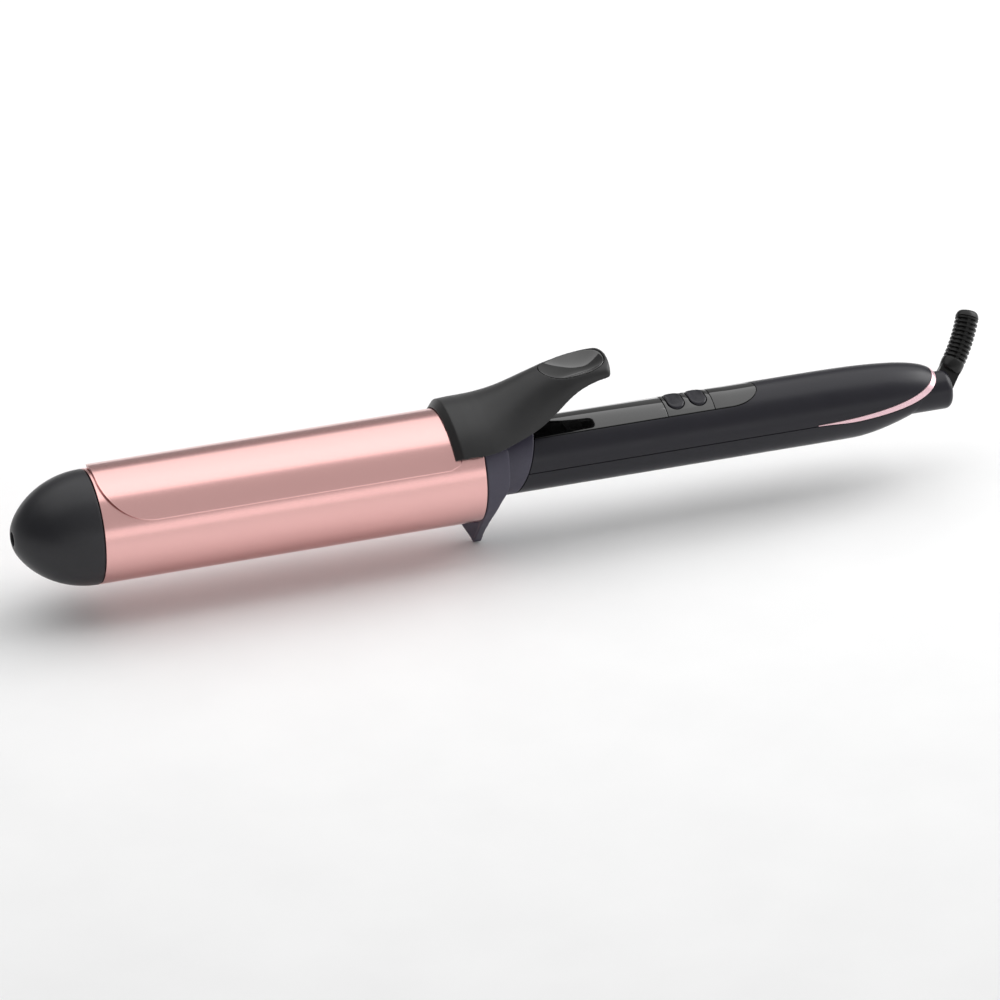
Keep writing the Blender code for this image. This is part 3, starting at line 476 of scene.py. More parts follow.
def rose_gold():
    """Lacquer on the barrel and on the clamp's sheet, whose cut edge is painted darker than its faces as a
    painted shadow line along the gap under the sheet.
    """
    colour = (0.82, 0.47, 0.45)
    made = Skin("rose_gold_lacquer", colour, 0.22, 0.95, coat_weight=0.2, coat_roughness=0.2)
    made.tint(made.spots(0.16), lighter(colour, 0.97), lighter(colour, 1.03), 0.2, 0.8)
    # painted shade: the sheet's cut edge is darkened, a painted shadow line of the gap under the sheet
    made.painted_edge_shadow(PLATE_INNER_RADIUS + 0.15, PLATE_OUTER_RADIUS - 0.02, (0.38, 0.25, 0.25))
    made.polish(made.noise(0.5, 3.0), 0.2, 0.25)
    return made.bump(made.noise(0.25, 2.0), 0.0004)


def tip_plastic():
    colour = (0.010, 0.010, 0.013)
    made = Skin("tip_heatproof_plastic", colour, 0.4, specular_ior_level=0.44)
    made.tint(made.noise(3.0, 4.0), lighter(colour, 0.9), lighter(colour, 1.12))
    return made.moulded(0.22, 0.005)


def collar_plastic():
    colour = (0.046, 0.042, 0.066)
    made = Skin("collar_purple_grey", colour, 0.45)
    made.tint(made.noise(0.4, 4.0), lighter(colour, 0.95), lighter(colour, 1.06))
    return made.moulded(0.3, 0.006)


def soft_black():
    colour = (0.011, 0.011, 0.0115)
    sheen = {"sheen_weight": 0.03, "sheen_roughness": 0.5}
    made = Skin("lever_soft_touch", colour, 0.42, specular_ior_level=0.42, **sheen)
    made.tint(made.noise(4.0, 4.0), lighter(colour, 0.92), lighter(colour, 1.1))
    return made.moulded(0.18, 0.004, 0.04)


def satin_black():
    colour = (0.006, 0.0055, 0.0105)
    made = Skin("handle_satin_black", colour, 0.33, specular_ior_level=0.38)
    made.tint(made.noise(5.0, 4.0), lighter(colour, 0.92), lighter(colour, 1.1))
    return made.moulded(0.2, 0.0025, 0.04)


def gloss_black():
    colour = (0.002, 0.002, 0.002)
    made = Skin("strip_gloss_black", colour, 0.07, coat_weight=0.8, coat_roughness=0.03)
    made.tint(made.noise(8.0, 2.0), lighter(colour, 0.85), lighter(colour, 1.2))
    made.polish(made.noise(5.0, 5.0), 0.05, 0.1)
    return made.bump(made.noise(6.0, 1.0), 0.001)


def rubber():
    colour = (0.004, 0.004, 0.004)
    made = Skin("relief_rubber", colour, 0.34, specular_ior_level=0.3)
    made.tint(made.noise(1.5, 4.0), lighter(colour, 0.8), lighter(colour, 1.25))
    return made.moulded(0.15, 0.004, 0.06)


def accent_metal():
    colour = (0.86, 0.58, 0.63)
    made = Skin("accent_pink_metal", colour, 0.3, 0.4)
    made.tint(made.spots(0.2), lighter(colour, 0.95), lighter(colour, 1.05), 0.2, 0.8)
    return made.polish(made.noise(2.0, 4.0, (0.2, 1.0, 1.0)), 0.26, 0.36)


def turned_metal(name, colour, roughness):
    made = Skin(name, colour, roughness, 1.0)
    made.tint(made.noise(1.2, 4.0), lighter(colour, 0.88), lighter(colour, 1.06))
    made.polish(made.noise(0.5, 4.0, (4.0, 1.0, 1.0)), roughness - 0.08, roughness + 0.1)
    return made.bump(made.noise(0.12, 2.0, (5.0, 1.0, 1.0)), 0.001)


def ceramic():
    colour = (0.84, 0.82, 0.77)
    made = Skin("bare_ceramic", colour, 0.62)
    made.tint(made.noise(0.6, 6.0), lighter(colour, 0.88), lighter(colour, 1.05))
    return made.moulded(0.15, 0.008)


def board_green():
    colour = (0.03, 0.19, 0.07)
    made = Skin("solder_mask_green", colour, 0.35)
    made.tint(made.noise(2.2, 0.0, (1.0, 3.0, 1.0)), lighter(colour, 0.7), lighter(colour, 1.35), 0.48, 0.52)
    return made.moulded(0.1, 0.003)


def plain_plastic(name, colour, roughness):
    made = Skin(name, colour, roughness)
    made.tint(made.noise(1.5, 3.0), lighter(colour, 0.85), lighter(colour, 1.15))
    return made.moulded(0.2, 0.003)


SKINS = {
    "rose_gold": rose_gold,
    "tip_plastic": tip_plastic,
    "collar_plastic": collar_plastic,
    "soft_black": soft_black,
    "satin_black": satin_black,
    "gloss_black": gloss_black,
    "rubber": rubber,
    "accent_metal": accent_metal,
    "steel": lambda: turned_metal("turned_steel", (0.56, 0.56, 0.57), 0.3),
    "brass": lambda: turned_metal("turned_brass", (0.72, 0.50, 0.20), 0.28),
    "aluminium": lambda: turned_metal("extruded_aluminium", (0.72, 0.73, 0.75), 0.38),
    "ceramic": ceramic,
    "board_green": board_green,
    "wire_red": lambda: plain_plastic("insulation_red", (0.45, 0.03, 0.03), 0.45),
    "wire_blue": lambda: plain_plastic("insulation_blue", (0.03, 0.08, 0.40), 0.45),
    "led_lens": lambda: plain_plastic("lens_red", (0.80, 0.10, 0.06), 0.2),
    "component_black": lambda: plain_plastic("component_black", (0.03, 0.03, 0.03), 0.5),
    "component_yellow": lambda: plain_plastic("component_yellow", (0.75, 0.55, 0.06), 0.35),
}
made_skins = {}


def skin(slot):
    if slot not in made_skins:
        made_skins[slot] = SKINS[slot]().material
    return made_skins[slot]


# ---- barrel ----
def build_barrel():
    front, rear = (corner[0] / MM + FOOT_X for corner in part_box("barrel_tube"))
    bore = BARREL_RADIUS - SLEEVE_WALL
    loop = rounded_loop([(front, BARREL_RADIUS), (rear, BARREL_RADIUS), (rear, bore), (front, bore)], 0.25)
    dress(place("barrel_sleeve", turned(loop, FINE, True)), "handle", "rose_gold", ["barrel_tube"])


def build_tip():
    """The blunt cap, hollow behind, with a recessed hole and its spigot inside the barrel."""
    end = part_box("tip_cap")[0][0] / MM + FOOT_X
    seam = end + TIP_LENGTH
    end_radius, hole, seat, wall = 3.0, 2.3, end + 7.0, 2.4
    screw_bore, post_radius = 1.5, 4.5
    grow = BARREL_RADIUS - end_radius
    steps = [math.sin(math.pi / 2 * t) for t in spread(0.0, 1.0, 48)]
    outside = [(seam - TIP_LENGTH * t, end_radius + grow * (1 - t**2.1) ** 0.7) for t in steps]
    rim = [(seam, BARREL_RADIUS - 0.3), (seam - 0.1, BARREL_RADIUS - 0.1), (seam - 0.35, BARREL_RADIUS)]
    outside = rim + outside[1:]
    inside = [(x + wall, r - wall) for x, r in outside[8:26:3]]
    spigot = BARREL_RADIUS - 1.5
    lip = rounded((end, hole), (end, end_radius), (seat, hole), 0.3)
    profile = outside + lip + [(seat, hole), (seat, screw_bore), (seam + 5.0, screw_bore)]
    profile += [(seam + 5.0, post_radius), (inside[-1][0], post_radius)] + list(reversed(inside))
    profile += [(seam + 8.0, inside[0][1]), (seam + 8.0, spigot), (seam, spigot)]
    dress(place("tip_shell", turned(profile, FINE, True)), "handle", "tip_plastic", ["tip_cap"], 50.0)
    screw("tip_screw_fine", "X", (seat - GAP, 0.0, 0.0), -1.6, 1.9, 1.1, 27.9, "tip_screw")


def screw(name, axis, head_start, head_depth, head_radius, shank_radius, shank_length, node):
    """A pan-head screw with a cross recess. Its head stands out from head_start against its shank."""
    way = 1.0 if head_depth > 0 else -1.0
    crown = [(head_depth - way * 0.5 * (1 - math.cos(t)), head_radius * math.sin(t))
             for t in spread(0.02, math.pi / 2, 10)]
    profile = crown + [(0.0, head_radius), (0.0, shank_radius)]
    thread = []
    pitch = 0.8
    for i in range(int(shank_length / pitch)):
        step = -way * pitch * i
        thread += [(step, shank_radius), (step - way * pitch * 0.5, shank_radius * 0.86)]
    profile += thread + [(-way * shank_length, shank_radius * 0.6)]
    space = IRON_SPACE @ Matrix.Translation(head_start)
    if axis == "Z":
        space = space @ Matrix.Rotation(math.radians(-90), 4, "Y")
    made = place(name, turned(profile, 48), space)
    arm, width, depth = head_radius * 0.62, head_radius * 0.13, abs(head_depth) * 0.55
    ends = sorted((head_depth - way * depth, head_depth + way))
    cross = [("cut", block((ends[0], -arm, -width), (ends[1], arm, width))),
             ("cut", block((ends[0], -width, -arm), (ends[1], width, arm)))]
    combine(made, cross, space)
    dress(made, "handle", "steel", [node], 30.0)


# ---- collar with its stand foot ----
RING_REAR_ROWS = [          # (height, the ring's rear edge), which runs down into the foot
    (-32.0, 3.2), (-22.0, 2.8), (-11.6, 3.6), (-6.0, 5.0), (-1.5, 7.1), (4.0, 7.8), (22.0, 8.9),
]


def collar_rear(z, extra=0.0):
    return COLLAR_REAR + COLLAR_SLANT * z + extra


def slanted_block(x_shift, x_far):
    """A block behind, or in front of, the collar's slanted rear plane."""
    reach = 40.0
    outline = [(collar_rear(-reach, x_shift), -reach), (collar_rear(reach, x_shift), reach)]
    return prism_y(outline + [(x_far, reach), (x_far, -reach)], -reach, reach)


def build_collar():
    """The ring behind the barrel with its foot, its slanted neck and the clamp's bracket."""
    front = GAP / 2
    neck_bore, sides = 5.5, 7.2
    turns = [math.radians(angle) for angle in spread(-126, 126, 85)]
    outline = [(BARREL_RADIUS * math.sin(t), BARREL_RADIUS * math.cos(t)) for t in turns]
    outline += [(FOOT_HALF_WIDTH, -AXIS_HEIGHT), (-FOOT_HALF_WIDTH, -AXIS_HEIGHT)]
    made = place("collar_body", prism_x(outline, front, 12.0))
    curve = [(spline(RING_REAR_ROWS, z)[0], z) for z in spread(-32.0, 22.0, 60)]
    around = turned([(-30.0, BARREL_RADIUS + GAP), (front - 0.02, BARREL_RADIUS + GAP)], FINE)
    neck = [(1.5, 11.0), (3.0, NECK_RADIUS), (10.5, NECK_RADIUS), (24.0, NECK_RADIUS + 0.5)]
    arch = [(HINGE[0] + 3.9 * math.sin(t), HINGE[2] + 3.9 * math.cos(t))
            for t in spread(math.pi / 2, -math.pi / 2, 32)]
    bracket = prism_y(arch + [(2.2, 9.0), (HINGE[0] + 4.6, 6.0)], -sides, sides)
    steps = [
        ("cut", prism_y(curve + [(40.0, 22.0), (40.0, -32.0)], -30.0, 30.0)),
        ("join", foot_hull()),
        ("cut", around),
        ("join", turned(neck, FAIR)),
        ("join", bracket),
        ("cut", slanted_block(0.0, 60.0)),
        ("join", turned([(8.0, 9.3), (23.5, 9.3)], FAIR)),
        ("cut", turned([(-2.0, neck_bore), (30.0, neck_bore)], FAIR)),
        ("cut", block((HINGE[0] - 4.1, -3.4, 8.6), (HINGE[0] + 4.7, 3.4, 30.0))),
        ("cut", rod("Y", (HINGE[0], -30.0, HINGE[2]), 60.0, HINGE_BORE)),
        ("cut", rod("Z", (SPRING_X, 0.0, 10.4), 20.0, 2.65)),
    ]
    combine(made, steps)
    soften(made, 0.25, 5)
    dress(made, "handle", "collar_plastic", ["collar"], 180.0)


def foot_hull():
    """The foot as the convex skin over its tip, its flanks and the ridge in front."""
    tip = [(x, side * (FOOT_HALF_WIDTH - 0.2), -AXIS_HEIGHT) for x in FOOT_TIP for side in (-1, 1)]
    sides = [(x, side * 14.0, -10.5) for x in (0.2, 2.4) for side in (-1, 1)]
    ridges = [(-6.7, side * 1.2, -16.0) for side in (-1, 1)] + [(10.4, 0.0, -11.0), (2.0, 0.0, -6.0)]
    shape = bmesh.new()
    for point in tip + sides + ridges:
        shape.verts.new(point)
    bmesh.ops.convex_hull(shape, input=shape.verts)
    shape.verts.index_update()
    points = [tuple(vert.co) for vert in shape.verts]
    faces = [tuple(vert.index for vert in face.verts) for face in shape.faces]
    shape.free()
    return outward(points, faces)


# ---- clamp ----
def build_plate():
    """The sheet that hugs the barrel, rounded in front and narrower where the lever covers it."""
    front = rounded_end(PLATE_FRONT, PLATE_SQUARE_X, PLATE_HALF_ANGLE, 14.0, 36)
    stations = front + [(-60.0, PLATE_HALF_ANGLE), (-12.1, PLATE_HALF_ANGLE), (-8.8, 60.5)]
    stations += [(-7.4, 53.0), (1.5, 53.0)]
    made = place("clamp_sheet", arc_plate(stations, PLATE_INNER_RADIUS, PLATE_OUTER_RADIUS, 96))
    bevel(made, 0.2, 3, 50.0)
    dress(made, "clamp", "rose_gold", ["clamp_plate"], 45.0)


LEVER_ROWS = [              # (place, height of the top, half width, height of the lower edge)
    (-4.0, 23.3, 19.2, 12.8),
    (2.6, 23.6, 18.9, 12.8),
    (10.5, 25.8, 16.3, 13.8),
    (19.6, 29.6, 13.2, 16.0),
    (26.7, 32.0, 11.2, 20.0),
    (33.7, 32.9, 9.9, 25.2),
    (39.7, 33.1, 9.3, 27.7),
    (46.8, 32.8, 9.0, 29.1),
]


def lever_arch(x):
    """Height of the arch's middle, its rise, half its full width, its lower edges' turn and its power."""
    top, half_width, edge = spline(LEVER_ROWS, x)
    half_width *= (1 - (max(0.0, x - 43.5) / 3.1) ** 4) ** 0.33
    centre = edge * smooth_step(x, 0.0, 34.0)
    rise = top - centre
    fall = min(1.0, (edge - centre) / rise)
    power = 2.0 / (2.0 + 0.5 * smooth_step(x, 24.0, 40.0))
    return centre, rise, half_width / math.sqrt(1 - fall**2), math.acos(fall), power


def lever_ring(x, inset, count):
    """Half of a rounded arch over the barrel, from one lower edge to the other."""
    centre, rise, reach, edge_turn, power = lever_arch(x)
    ring = []
    for t in spread(-edge_turn, edge_turn, count):
        across = math.copysign(abs(math.sin(t)) ** power, t) * (reach - inset)
        ring.append((x, across, centre + math.cos(t) ** power * (rise - inset)))
    return ring


def lever_height(x, y):
    """Height of the lever's outside at a place in plan."""
    centre, rise, reach, _, power = lever_arch(x)
    across = min(1.0, abs(y) / reach) ** (1 / power)
    return centre + rise * math.sqrt(1 - across**2) ** power


def lever_front(radius, x_edge, count):
    """A ring of the lever's bevelled front, which leans forward a little towards its top."""
    edge = math.radians(LEVER_EDGE_ANGLE)
    low = radius * math.cos(edge)
    ring = []
    for t in spread(-edge, edge, count):
        height = radius * math.cos(t)
        ring.append((x_edge - LEVER_LEAN * (height - low), radius * math.sin(t), height))
    return ring


def lever_cavity():
    """The hollow under the lever, with a roof that stays below the thumb rest's seat."""
    front, rear, roof_height, roof_drop = 1.8, 33.0, 29.0, 3.2
    rings = []
    for x in spread(front, rear, 36):
        ring = lever_ring(x, LEVER_WALL, 65)
        roof = roof_height - roof_drop * smooth_step(x, 15.0, 26.0)
        floor = min(point[2] for point in ring) - 8.0
        shaped = [(x, y, min(z, roof)) for x, y, z in ring]
        rings.append(shaped + [(x, shaped[-1][1], floor), (x, shaped[0][1], floor)])
    return loft(rings)


def pad_outline(inset, count=96):
    """Plan of the thumb recess: a leaf that is longer in front of its widest place than behind."""
    middle, front, rear, half = 36.0, 12.5 - inset, 9.8 - inset, 7.9 - inset
    outline = []
    for j in range(count):
        t = 2 * math.pi * j / count
        reach, square = (rear, 0.8) if math.cos(t) > 0 else (front, 0.95)
        x = middle + math.copysign(abs(math.cos(t)) ** square, math.cos(t)) * reach
        outline.append((x, math.copysign(abs(math.sin(t)) ** square, math.sin(t)) * half))
    return outline


def build_lever():
    """The lever's hollow body: a bevelled front, a waist and a rounded tail, with its hinge lug below."""
    count = 89
    rings = [lever_front(LEVER_BORE + 0.3, -10.2, count), lever_front(23.0, -8.0, count)]
    tail = [46.5 - 3.0 * (1 - math.sin(t)) for t in spread(0.0, math.pi / 2, 12)]
    xs = [-4.0, -0.6] + spread(2.6, 43.1, 50) + tail
    rings += [lever_ring(x, 0.0, count) for x in xs]
    made = place("lever_body", loft(rings))
    under = [(HINGE[0] + 3.1 * math.sin(t), HINGE[2] - 3.1 * math.cos(t))
             for t in spread(-math.pi / 2, math.pi / 2, 24)]
    lug = prism_y(under + [(HINGE[0] + 2.5, 24.8), (HINGE[0] - 3.1, 23.0)], -2.9, 2.9)
    steps = [
        ("cut", turned([(-20.0, LEVER_BORE), (2.6, LEVER_BORE)], FINE)),
        ("cut", lever_cavity()),
        ("join", lug),
        ("cut", rod("Y", (HINGE[0], -6.0, HINGE[2]), 12.0, HINGE_BORE)),
        ("cut", prism_z(pad_outline(0.0), PAD_SEAT, 36.0)),
    ]
    steps += [("cut", rod("Z", (-2.5, side * 7.0, 14.0), 7.2, 1.35)) for side in (-1, 1)]
    combine(made, steps)
    soften(made, 0.22, 5)
    dress(made, "clamp", "soft_black", ["clamp_lever"], 180.0)


def build_pad():
    """The gloss thumb rest: its rim follows the lever, with a tight radius, round a scooped middle."""
    low, depth, sink = PAD_SEAT + 0.2, PAD_SEAT + 1.1, 0.25
    outline = pad_outline(0.25)
    middle = sum(x for x, y in outline) / len(outline)
    rims = [lever_height(x, y) - sink for x, y in outline]
    rings = [[(x, y, low) for x, y in outline]]
    for t in spread(0.0, math.pi / 2, 5):
        inner = pad_outline(0.25 + 0.2 * (1 - math.cos(t)))
        rings.append([(x, y, rim - 0.2 + 0.2 * math.sin(t)) for (x, y), rim in zip(inner, rims)])
    for scale in spread(0.96, 0.06, 16):
        ring = []
        for (x, y), rim in zip(pad_outline(0.45), rims):
            ring.append((middle + (x - middle) * scale, y * scale, depth + (rim - depth) * scale**2.2))
        rings.append(ring)
    dress(place("thumb_pad", loft(rings)), "clamp", "gloss_black", ["thumb_inlay"], 60.0)


def build_spring():
    """The return spring, as a fixed coil that does not close up when the lever is pressed."""
    bottom, top, turns, wire, radius = 11.1, 24.4, 6, 0.4, 2.0
    steps = 32
    rings = []
    for i in range(turns * steps + 1):
        angle = 2 * math.pi * i / steps
        height = bottom + (top - bottom) * i / (turns * steps)
        ring = []
        for j in range(12):
            t = 2 * math.pi * j / 12
            reach = radius + wire * math.cos(t)
            x, y = SPRING_X + reach * math.cos(angle), reach * math.sin(angle)
            ring.append((x, y, height + wire * math.sin(t)))
        rings.append(ring)
    made = dress(place("return_spring", loft(rings)), "handle", "steel", ["clamp_spring"], 60.0)
    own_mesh(made)


# ---- handle ----
def handle_top(x):
    taper = max(0.0, (x - TAPER_START) / (TAPER_END - TAPER_START))
    return HANDLE_RADIUS * (1 - taper**2.8) ** 0.24


def handle_bottom(x):
    return HANDLE_RADIUS - 4.0 * (max(0.0, x - 130.5) / 17.0) ** 1.8


def rising_edge(x, base, end, rise, power):
    """A line that leaves the seam level, curves up towards the rear, and stands upright at its end."""
    t = min(1.0, max(0.0, (x - TRIM_START) / (end - TRIM_START)))
    return base + rise * (1 - math.sqrt(1 - t**power))


def trim_top(x):
    return rising_edge(x, SEAM_HEIGHT + 0.35, TRIM_TOP_END, 9.5, 2.0)


def trim_bottom(x):
    base = SEAM_HEIGHT - smooth_step(x, TRIM_START, 132.0)
    return rising_edge(x, base, TRIM_BOTTOM_END, 10.0, 2.6)


LAST_TURN = 1.49            # radians of the taper's quarter turn that the handle runs to
HANDLE_END = TAPER_START + (TAPER_END - TAPER_START) * math.sin(LAST_TURN)


def handle_solid(start, end, inset=0.0):
    """The handle's outside between two places, or a smaller or larger copy of it."""
    reach = TAPER_END - TAPER_START
    xs = [start] + spread(20.0, 110.0, 10)
    xs += [TAPER_START + reach * math.sin(t) for t in spread(0.0, LAST_TURN, 60)]
    rings = []
    for x in [x for x in xs if x < end - 0.2] + [end]:
        ring = []
        for j in range(FAIR):
            t = 2 * math.pi * (j + 0.5) / FAIR
            width = handle_top(x) - inset
            height = width if math.cos(t) > 0 else handle_bottom(x) - inset
            ring.append((x, width * math.sin(t), height * math.cos(t)))
        rings.append(ring)
    return loft(rings)


def beside_line(line, shift, side):
    """A block above the line z = line(x) + shift if side is 1, or below it if side is -1."""
    reach = TRIM_BOTTOM_END - TRIM_START
    xs = [0.0, 60.0, TRIM_START] + [TRIM_START + reach * math.sin(t) for t in spread(0.1, math.pi / 2, 48)]
    points = [(x, line(x) + shift) for x in xs]
    last = points[-1]
    far = 30.0 * side
    return prism_y([(xs[0], far)] + points + [(last[0] + 6.0, last[1]), (last[0] + 6.0, far)], -30.0, 30.0)


def knuckle_bore(start):
    radius = KNUCKLE_RADIUS + 0.35
    return turned([(start, radius), (190.0, radius)], height=KNUCKLE_HEIGHT)


def trim_band(name, clearance):
    """The crescent of handle surface between the trim's two edges, grown by a clearance."""
    band = place(name, handle_solid(12.0, HANDLE_END, -clearance))
    steps = [
        ("cut", beside_line(trim_top, clearance, 1)),
        ("cut", beside_line(trim_bottom, GAP / 2 - 2 * clearance, -1)),
        ("cut", block((0.0, -20.0, -20.0), (TRIM_START + 1.0 - clearance, 20.0, 20.0))),
        ("cut", handle_solid(8.0, 160.0 - clearance, TRIM_DEPTH + clearance)),
    ]
    return combine(band, steps)


def button_outline(centre, growth, count=64):
    """Plan of a button: two half circles joined by short straight sides."""
    half_x, half_y = BUTTON_HALF_X + growth, BUTTON_HALF_Y + growth
    straight = half_y - half_x
    outline = []
    for j in range(count):
        t = 2 * math.pi * (j + 0.5) / count
        y = half_x * math.sin(t) + math.copysign(straight, math.sin(t))
        outline.append((centre + half_x * math.cos(t), y))
    return outline


def button_holes():
    return [("cut", prism_z(button_outline(x, BUTTON_GAP), 6.0, 20.0)) for x in BUTTON_PLACES.values()]


def strip_stations(start, end, grow, round_rear):
    """Stations of a piece of the control strip, whose rear end is square or rounded."""
    stations = [(start, STRIP_HALF_ANGLE + grow)]
    if round_rear:
        rear = rounded_end(end, end - 10.0, STRIP_HALF_ANGLE + grow, 4.0, 24)
        stations += [(x, half) for x, half in reversed(rear)]
    else:
        stations.append((end, STRIP_HALF_ANGLE + grow))
    return stations


def shell_steps(side):
    """The cuts and bosses of one handle shell: side is 1 for the upper and -1 for the lower."""
    steps = [
        ("cut", slanted_block(GAP, -40.0)),
        ("cut", handle_solid(8.0, CAVITY_END, HANDLE_WALL)),
        ("cut", knuckle_bore(130.0)),
    ]
    for x in SCREW_PLACES.values():
        low, high = (0.6, 11.0) if side > 0 else (-11.0, -1.8)
        steps.append(("join", rod("Z", (x, 0.0, low), high - low, 3.2)))
        if side > 0:
            steps.append(("cut", rod("Z", (x, 0.0, -1.0), 7.0, 1.4)))
        else:
            steps.append(("cut", post(x, [(-16.0, 2.8), (-9.4, 2.8), (-9.4, 1.5), (2.0, 1.5)])))
    steps.append(("cut", beside_line(trim_bottom, side * GAP / 2, -side)))
    return steps


def build_handle():
    upper = place("upper_housing", handle_solid(10.0, HANDLE_END))
    steps = shell_steps(1) + [("cut", trim_band("trim_seat", 0.3))]
    bed = strip_stations(4.0, STRIP_END + 0.3, 1.2, True)
    steps.append(("cut", arc_plate(bed, HANDLE_RADIUS - 1.0, 20.0, 48)))
    combine(upper, steps + button_holes())
    dress(upper, "handle", "satin_black", ["handle_upper_shell"], 35.0)

    lower = place("lower_housing", handle_solid(10.0, HANDLE_END))
    rear = [(138.5, -20.0), (168.5, 20.0), (200.0, 20.0), (200.0, -20.0)]
    combine(lower, shell_steps(-1) + [("cut", prism_y(rear, -30.0, 30.0))])
    dress(lower, "handle", "satin_black", ["handle_lower_shell"], 35.0)

    trim = trim_band("accent_band", 0.0)
    combine(trim, [("cut", knuckle_bore(100.0))])
    dress(trim, "handle", "accent_metal", ["accent_trim"], 35.0)
    for node, x in SCREW_PLACES.items():
        screw(node + "_fine", "Z", (x, 0.0, -9.7), -1.6, 2.4, 1.1, 14.7, node)


def build_controls():
    """The gloss strip in three pieces, and the two buttons in the middle one."""
    under = HANDLE_RADIUS - STRIP_DEPTH
    front = arc_plate(strip_stations(10.0, PANEL_FRONT - GAP / 2, 0.0, False), under, HANDLE_RADIUS, 64)
    made = combine(place("fascia_front_lens", front), [("cut", slanted_block(GAP, -40.0))])
    bevel(made, 0.12, 2, 40.0)
    dress(made, "handle", "gloss_black", ["fascia_front"], 40.0)
    rear = arc_plate(strip_stations(PANEL_REAR + GAP / 2, STRIP_END, 0.0, True), under, HANDLE_RADIUS, 64)
    made = bevel(place("fascia_rear_lens", rear), 0.12, 2, 40.0)
    dress(made, "handle", "gloss_black", ["fascia_rear"], 40.0)
    stations = strip_stations(PANEL_FRONT + GAP / 2, PANEL_REAR - GAP / 2, 0.0, False)
    panel = place("button_bezel", arc_plate(stations, under, HANDLE_RADIUS, 64))
    combine(panel, button_holes())
    dress(bevel(panel, 0.1, 2, 40.0), "handle", "gloss_black", ["button_panel"], 40.0)
    for node, x in BUTTON_PLACES.items():
        build_button(node, x)


def build_button(node, centre):
    """An oval key that follows the handle's curve, with rounded shoulders and a dished top."""
    shoulder = 0.45

    def level(scale, depth, flat=False):
        ring = []
        for x, y in button_outline(centre, 0.0):
            across = y * scale
            height = HANDLE_RADIUS if flat else math.sqrt(HANDLE_RADIUS**2 - across**2)
            ring.append((centre + (x - centre) * scale, across, height + depth))
        return ring

    rings = [level(0.3, -4.0, True), level(0.3, -3.4), level(1.12, -3.2), level(1.12, -2.6)]
    rings += [level(1.0, -2.6), level(1.0, BUTTON_RISE - shoulder)]
    for t in spread(0.2, math.pi / 2, 6):
        rings.append(level(0.88 + 0.12 * math.cos(t), BUTTON_RISE - shoulder + shoulder * math.sin(t)))
    for t in spread(0.15, 1.0, 8):
        rings.append(level(0.84 * (1 - t) + 0.04, BUTTON_RISE - 0.75 * math.sin(math.pi / 2 * t)))
    dress(place(node + "_key", loft(rings)), node, "satin_black", [node], 50.0)


# ---- swivel and strain relief ----
def build_knuckle():
    """The turning cord outlet: a spindle and a flange inside, and a slotted round end outside."""
    spindle, flange_radius, flange_end, corner = 3.5, 7.5, FLANGE_X + 2.0, 2.2
    profile = [(KNUCKLE_START, spindle), (FLANGE_X, spindle), (FLANGE_X, flange_radius)]
    profile += [(flange_end, flange_radius), (flange_end, KNUCKLE_RADIUS)]
    for t in spread(0.0, math.pi / 2, 12):
        x = KNUCKLE_END - corner + corner * math.sin(t)
        profile.append((x, KNUCKLE_RADIUS - corner + corner * math.cos(t)))
    made = place("knuckle_body", turned(profile, FAIR), SWIVEL_SPACE)
    slot = block((BOOT_HINGE_X - 5.2, -2.4, -4.2), (190.0, 2.4, 12.0))
    pin_hole = rod("Y", (BOOT_HINGE_X, -5.6, 0.0), 24.0, BOOT_PIN_BORE)
    combine(made, [("cut", slot), ("cut", pin_hole)], SWIVEL_SPACE)
    soften(made, 0.14, 4)
    dress(made, "swivel", "satin_black", ["swivel_knuckle"], 180.0)


def boot_point(distance, across, up):
    """A point on the strain relief, whose middle line leaves its hinge straight and then curls upwards."""
    radius = (BOOT_LENGTH - BOOT_STRAIGHT) / math.radians(BOOT_CURL)
    turn = max(0.0, distance - BOOT_STRAIGHT) / radius
    x = min(distance, BOOT_STRAIGHT) + radius * math.sin(turn) - up * math.sin(turn)
    return x, across, radius * (1 - math.cos(turn)) + up * math.cos(turn)


def bent(profile, segments):
    """A round solid about the strain relief's middle line."""
    turns = [2 * math.pi * j / segments for j in range(segments)]
    return loft([[boot_point(distance, radius * math.sin(t), radius * math.cos(t)) for t in turns]
                 for distance, radius in profile])


